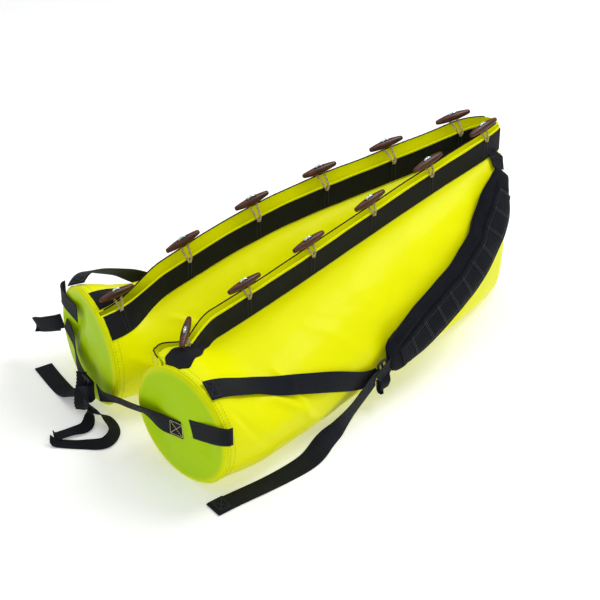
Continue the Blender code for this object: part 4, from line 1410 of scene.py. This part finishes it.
def build_pad_webbing(side, pad, skin, body):
    """Ribbed webbing laid along the pad's flat half, with bars sewn across it."""
    low, high = PAD_WEB
    first, last = PAD_WEB_ENDS
    rows = np.arange(first, pad.total - last, 0.0011)
    shares = np.array((0, 0.02, 0.08, 0.2, 0.35, 0.5, 0.65, 0.8, 0.92, 0.98, 1.0))
    line, normal, across = pad.at(rows)
    phases = (rows - first) % BAR_PITCH
    grid, uv = [], []
    for i, length in enumerate(rows):
        row = []
        on_bar = float(smooth(phases[i] / 0.0012) * smooth((BAR - phases[i]) / 0.0012))
        rib = 0.5 + 0.5 * sin(2 * pi * length / 0.0042)
        room = float(pad.half_width(length)) / PAD_HALF
        for share in shares:
            point = line[i] + across[i] * ((low + (high - low) * share) * room)
            base = struck(skin, point + normal[i] * 0.03, -normal[i], 0.06, point + normal[i] * 0.008)
            inside = min(1.0, share / 0.08, (1 - share) / 0.08)
            lift = 0.0016 + 0.0018 * on_bar + 0.0017 * rib * (1 - on_bar) * inside
            row.append(base + normal[i] * (lift - 0.0008 * (1 - inside)))
        grid.append(row)
        uv.append([(length, (high - low) * share) for share in shares])
    grid = np.array(grid)
    for _ in range(3):
        grid[:, 1:-1] = (grid[:, :-2] + 2 * grid[:, 1:-1] + grid[:, 2:]) / 4
    normals = normalized(np.cross(np.gradient(grid, axis=0), np.gradient(grid, axis=1)))
    if normals[5, 5] @ normal[5] < 0:
        normals = -normals
    web = shell(side + "_pad_web", grid, normals, WEBBING, 0.0022, uv_grid=np.array(uv))
    belongs(web, body, side + "_pad_webbing")
    sewn = []
    for share in (0.07, 0.93):
        column = int(np.argmin(np.abs(shares - share)))
        sewn.append(stitches("row", grid[:, column], normals[:, column], DARK_THREAD, 0.004, 0.002, 0.0006))
    for i, phase in enumerate(phases):
        for mark in (0.0018, BAR - 0.0018):
            if abs(phase - mark) < 0.00055:
                sewn.append(stitches("row", grid[i, 1:-1], normals[i, 1:-1], DARK_THREAD, 0.003, 0.001,
                                     0.0006))
    belongs(join(side + "_pad_thread", sewn), body)


def build_piping(side, pad, skin, body):
    """Piping round the pad's edge."""
    top, bottom = 0.006, pad.total - 0.012
    rim = [(length, 1.0, 0.0) for length in np.linspace(top, bottom, 90)]
    rim += [(bottom, cos(angle), sin(angle)) for angle in np.linspace(0, pi, 12)[1:-1]]
    rim += [(length, -1.0, 0.0) for length in np.linspace(bottom, top, 90)]
    rim += [(top, -cos(angle), -sin(angle)) for angle in np.linspace(0, pi, 8)[1:-1]]
    path = []
    for length, u, t in rim:
        point, normal, across = (item[0] for item in pad.at(length))
        forward = np.cross(across, normal)
        ahead = pad.at(min(length + 0.004, pad.total))[0][0] - pad.at(max(0.0, length - 0.004))[0][0]
        forward = forward if forward @ ahead > 0 else -forward
        way = across * u + forward * t
        centre = point - normal * 0.0030
        path.append(struck(skin, centre + way * 0.09, -way, 0.12,
                           centre + way * float(pad.half_width(length))))
    path = np.array(path)
    for _ in range(4):
        path = (np.roll(path, 1, 0) + 2 * path + np.roll(path, -1, 0)) / 4
    belongs(tube(side + "_pad_piping", path, 0.0021, PIPING, 10, closed=True), body)


# ---------------------------------------------------------------- shoulder webbing

LOWER_MARKS = {
    "right": ((0.006, 0.114, 0.0040), (0.025, 0.116, 0.0045), (0.050, 0.121, 0.0050), (0.095, 0.138, 0.0050),
              (0.165, 0.203, 0.0050), (0.225, 0.228, 0.0045), (0.33, 0.266, 0.0060), (0.405, 0.2985, 0.0070),
              (0.425, 0.301, 0.0085)),
    "left": ((0.004, 0.112, 0.0030), (0.012, 0.118, 0.0150), (0.05, 0.130, 0.0300), (0.13, 0.166, 0.0300),
             (0.225, 0.230, 0.0120), (0.33, 0.268, 0.0060), (0.405, 0.2985, 0.0070), (0.425, 0.301, 0.0085)),
}
# The free end of the shoulder webbing, from the buckle to the floor and along it: (x, outward, z)
TAIL = ((-0.120, 0.238, 0.040), (-0.190, 0.252, 0.010), (-0.255, 0.272, 0.0022), (-0.345, 0.275, 0.0018),
        (-0.430, 0.272, 0.0018), (-0.474, 0.272, 0.0018))
TAIL_POINTS = {"right": 6, "left": 4}


def build_lower_webbing(side):
    """The adjusting webbing: along the wall to the buckle, over it and down to a free end on the floor."""
    body = side + "_shoulder_strap"
    spots = cloth[side].spots
    path, normals = laid(side, LOWER_MARKS[side], taut=60)
    across = ways_across(path, normals)
    last, flat = across[-1], np.array((0.0, -1.0, 0.0))
    count = TAIL_POINTS[side]
    tail = [np.array((x, outward * SIDES[side], z)) + SHIFT for x, outward, z in TAIL[:count]]
    points = [path[-1], *spots((0.4325, 0.3015, 0.0120), (0.426, 0.302, 0.0160)), *tail]
    ways = [last] * 4 + [last * 0.6 + flat * 0.5, last * 0.2 + flat] + [flat] * (count - 3)
    both = curve_points(np.hstack([points, ways]), 0.004)
    whole = np.vstack([path[:-1], both[:, :3]])
    all_ways = np.vstack([across[:-1], normalized(both[:, 3:])])
    for _ in range(3):
        all_ways[1:-1] = normalized(softened(all_ways))
    whole = above_floor(whole, all_ways, STRAP_WIDTH)
    made = strap(side + "_lower_web", whole, all_ways, [STRAP_WIDTH] * len(whole))
    belongs(made, body, side + "_lower_webbing")
    # The free end is folded back on itself and sewn down
    end, way, up = whole[-1], normalized(whole[-1] - whole[-6]), UP * 0.0023
    points = [end - way * 0.034 + up, end - way * 0.004 + up, end + way * 0.0015 + up * 0.55,
              end + way * 0.0002]
    flat_strap(side + "_tail_fold", points, [flat] * 4, STRAP_WIDTH, body, spacing=0.0015)
    box_stitch(side + "_tail_sewing", end - way * 0.018 + up + UP * 0.0011, way * 0.011, flat * 0.014, UP,
               body)
    box_stitch(side + "_rim_sewing", path[3] + normals[3] * 0.0014, normalized(path[5] - path[1]) * 0.010,
               across[3] * 0.015, normals[3], body)
    # Buckle below the pad, and the two short folds of webbing at it
    low, high = spots((0.446, 0.301, 0.012), (0.475, 0.294, 0.016))
    ladder_buckle(side + "_shoulder_buckle", (low + high) / 2, high - low, last, 0.046, 0.024, body,
                  side + "_strap_buckle")
    points = spots((0.498, 0.285, 0.020), (0.478, 0.292, 0.0205), (0.455, 0.299, 0.0190),
                   (0.438, 0.308, 0.0180))
    flat_strap(side + "_buckle_web", points, [last] * 4, STRAP_WIDTH - 0.002, body)
    points = spots((0.462, 0.303, 0.0120), (0.455, 0.318, 0.0240), (0.452, 0.330, 0.0270),
                   (0.450, 0.326, 0.0215), (0.452, 0.312, 0.0150))
    flat_strap(side + "_hanging_fold", points, [normalized(high - low)] * 5, 0.026, body, spacing=0.002)


def build_anchor(side):
    """The short length of webbing that holds the pad's upper end at the fold."""
    half = side + "_half"
    marks = ((0.984, 0.050, 0.0034), (0.976, 0.066, 0.0034), (0.966, 0.086, 0.0060))
    path, normals = laid(side, marks, 0.003)
    across = ways_across(path, normals, (1.0, 0.0, 0.0))
    made = strap(side + "_anchor", path, across, [STRAP_WIDTH - 0.004] * len(path))
    belongs(made, half, side + "_strap_anchor")
    k = len(path) // 3
    box_stitch(side + "_anchor_sewing", path[k] + normals[k] * 0.0012,
               normalized(path[k + 1] - path[k]) * 0.006, across[k] * 0.013, normals[k], half)


# ---------------------------------------------------------------- webbing at the caps

RIM_PATCH = {"right": (0.150, 0.30), "left": (0.178, 0.0)}    # height, and how steeply it climbs outward


def build_rim_patch(side):
    """The patch sewn over the round end's rim, with thread along both its edges."""
    height, climb = RIM_PATCH[side]
    points = [place(side, s, CAP_OFFSET + reach, height + climb * (reach - 0.090)) for s, reach in
              ((-0.0112, 0.034), (-0.0118, 0.065), (-0.0115, 0.093), (-0.0085, 0.112))]
    height += climb * 0.026
    points += [place(side, s, CAP_OFFSET + CAP_RADIUS + off, height) for s, off in
               ((-0.0015, 0.0018), (0.004, 0.0030), (0.008, 0.0034))]
    path, ways = flat_strap(side + "_rim_strap", points, [UP] * len(points), STRAP_WIDTH, side + "_half",
                            side + "_rim_patch", 0.003)
    normals = np.cross(tangents(path), ways)
    if normals[4] @ (path[4] - place(side, 0.1, CAP_OFFSET, height)) < 0:
        normals = -normals
    rows = [stitches("row", path + ways * (edge * (STRAP_WIDTH / 2 - 0.0028)) + normals * (WEB / 2), normals,
                     DARK_THREAD, 0.0038, 0.0016, 0.0005) for edge in (-1, 1)]
    belongs(join(side + "_rim_strap_thread", rows), side + "_half")


def shifted(*points):
    return [np.array(point, float) + SHIFT for point in points]


FLAT = np.array((-1.0, 0.0, 0.0))          # width direction of a strap that lies on the floor


def build_right_end_strap():
    """Sewn to the right round end by a box stitch, then across to the buckle."""
    points = [place("right", -0.0125, 0.166, 0.116), place("right", -0.0132, 0.140, 0.112),
              place("right", -0.0140, 0.110, 0.107),
              *shifted((-0.482, -0.060, 0.106), (-0.486, 0.000, 0.090), (-0.488, 0.050, 0.074),
                       (-0.488, 0.086, 0.063))]
    turned = np.array((-0.42, -0.30, 0.84))
    flat_strap("right_end_web", points, [UP, UP, UP, turned, turned, turned, UP], END_STRAP_WIDTH,
               ("right_half", "right_end_strap", tuple(points[2]), tuple(points[3])), "right_end_strap")
    across_cap = normalized(points[0] - points[1])
    outward = np.cross(across_cap, UP)
    outward = outward if outward[0] < 0 else -outward
    box_stitch("right_end_sewing", (points[0] + points[1]) / 2 + outward * 0.0014, across_cap * 0.0165,
               UP * 0.0145, outward, "right_half", PALE_THREAD)


def build_left_end_strap():
    """From the left round end round the buckle and down to the floor."""
    points = [place("left", -0.0125, 0.250, 0.122), place("left", -0.0135, 0.215, 0.104),
              *shifted((-0.478, 0.175, 0.082), (-0.4858, 0.142, 0.066), (-0.4862, 0.106, 0.058),
                       (-0.4935, 0.0995, 0.056), (-0.5013, 0.106, 0.053), (-0.503, 0.135, 0.034),
                       (-0.500, 0.165, 0.012), (-0.497, 0.205, 0.0022), (-0.493, 0.250, 0.0018),
                       (-0.487, 0.298, 0.0018))]
    across = [UP] * 7 + [UP * 0.7 + FLAT * 0.4, UP * 0.3 + FLAT, FLAT, FLAT, FLAT]
    flat_strap("left_end_web", points, across, END_STRAP_WIDTH, "left_end_strap", "left_end_strap", 0.003)
    high, low = shifted((-0.4932, 0.138, 0.062), (-0.4935, 0.110, 0.058))
    ladder_buckle("end_buckle", (high + low) / 2, low - high, UP, 0.046, 0.026, "left_end_strap",
                  "end_strap_buckle")


def build_pull_loop():
    """One strand sweeps out and round on the floor, folds over and comes back to the buckle."""
    points = shifted((-0.5085, 0.108, 0.040), (-0.508, 0.083, 0.034), (-0.492, 0.052, 0.022),
                     (-0.496, 0.022, 0.012), (-0.528, 0.008, 0.0080), (-0.562, 0.036, 0.0026),
                     (-0.592, 0.064, 0.0018), (-0.6005, 0.0735, 0.0036), (-0.592, 0.082, 0.0062),
                     (-0.560, 0.078, 0.0066), (-0.530, 0.072, 0.0080), (-0.512, 0.085, 0.018),
                     (-0.510, 0.100, 0.034))
    across = [(0, 0, 1), (-0.3, 0.1, 1), (-0.9, 0.3, 0.5), (-0.8, 0.5, 0.5), (0.3, 1, 0.5), (0.5, 0.8, 0.1),
              (0.6, 0.8, 0), (0.75, 0.65, 0), (0.8, 0.6, 0), (0.3, 0.95, 0), (-0.1, 0.9, 0.4),
              (-0.3, 0.5, 0.8), (0, 0.2, 1)]
    flat_strap("pull_loop", points, across, 0.025, "left_end_strap", "end_pull_loop", 0.003)


def build_keeper():
    """A narrow strip that hangs in front of the end buckle, with gathered edges."""
    points = shifted((-0.4955, 0.132, 0.090), (-0.4990, 0.128, 0.070), (-0.5075, 0.124, 0.045),
                     (-0.5105, 0.124, 0.022), (-0.5065, 0.126, 0.006))
    path = curve_points(points, 0.0015)
    widths = [0.021 + 0.0016 * sin(2 * pi * k / 5) for k in range(len(path))]
    made = strap("end_keeper", path, [(0.62, -0.78, 0.0)] * len(path), widths)
    belongs(made, "left_end_strap")


def build_side_loop():
    """The webbing loop at the far side of the left round end."""
    points = shifted((-0.4475, 0.272, 0.1120), (-0.456, 0.280, 0.1080), (-0.466, 0.300, 0.098),
                     (-0.474, 0.326, 0.084), (-0.4715, 0.338, 0.0765), (-0.466, 0.330, 0.0760),
                     (-0.460, 0.306, 0.088), (-0.452, 0.286, 0.098))
    flat_strap("left_side_loop", points, [(0.25, -0.45, -0.85)] * len(points), 0.032, "left_half",
               "left_side_tab", 0.002)


for side in SIDES:
    for number in range(1, TOGGLE_COUNT + 1):
        build_toggle(side, number)
    build_pad(side)
    build_lower_webbing(side)
    build_anchor(side)
    build_rim_patch(side)
build_bindings("left", "outer")
build_bindings("right", "inner")
build_right_end_strap()
build_left_end_strap()
build_pull_loop()
build_keeper()
build_side_loop()


# ---------------------------------------------------------------- floor, light and camera

FLOOR_HALF = 14.0
CAMERA_AZIMUTH, CAMERA_ELEVATION, CAMERA_DISTANCE = radians(38.0), radians(34.7), 3.79
CAMERA_TARGET = SHIFT + np.array((-0.060, 0.0, 0.145))


def floor_material():
    n = Nodes("pale_floor")
    colour = n.mix(n.scaled(n.noise(n.where, 3.0, 3.0), 0.4), (0.93, 0.935, 0.94), (0.90, 0.905, 0.915))
    return n.set(colour=colour, roughness=0.6, specular=0.1, emission_colour=(1.0, 1.0, 1.0), emission=0.24,
                 normal=n.bump(n.noise(n.where, 300.0, 3.0), 0.05, 0.0005))


def build_floor():
    work = bmesh.new()
    work.faces.new([work.verts.new((SHIFT[0] + x * FLOOR_HALF, SHIFT[1] + y * FLOOR_HALF, 0.0))
                    for x, y in ((-1, -1), (1, -1), (1, 1), (-1, 1))])
    mesh = bpy.data.meshes.new("floor")
    work.to_mesh(mesh)
    work.free()
    mesh.materials.append(floor_material())
    show("floor", mesh)


def lamp(name, offset, size, power):
    """A soft round lamp that faces the object's middle."""
    data = bpy.data.lights.new(name, "AREA")
    data.shape = "DISK"
    data.size = size
    data.energy = power
    made = show(name, data)
    made.location = SHIFT + np.array((0.0, 0.0, 0.15)) + np.array(offset)
    made.rotation_euler = (-Vector(offset)).to_track_quat("-Z", "Y").to_euler()


def build_light():
    lamp("key", (1.3, -0.4, 2.2), 1.4, 35)
    lamp("top", (-0.2, 0.9, 2.6), 2.6, 22)
    lamp("front", (-1.6, -2.6, 1.9), 2.4, 12)
    world = bpy.data.worlds.new("studio")
    world.use_nodes = True
    background = world.node_tree.nodes["Background"]
    background.inputs["Color"].default_value = (1.0, 1.0, 1.0, 1.0)
    background.inputs["Strength"].default_value = 0.42
    bpy.context.scene.world = world
    bpy.context.scene.view_settings.view_transform = "Standard"
    bpy.context.scene.view_settings.look = "None"


def build_camera():
    data = bpy.data.cameras.new("camera")
    data.sensor_width = 36.0
    data.lens = 114.0
    camera = show("camera", data)
    level = cos(CAMERA_ELEVATION)
    view = np.array((sin(CAMERA_AZIMUTH) * level, cos(CAMERA_AZIMUTH) * level, -sin(CAMERA_ELEVATION)))
    camera.location = CAMERA_TARGET - view * CAMERA_DISTANCE
    camera.rotation_euler = Vector(view).to_track_quat("-Z", "Y").to_euler()
    bpy.context.scene.camera = camera


build_floor()
build_light()
build_camera()
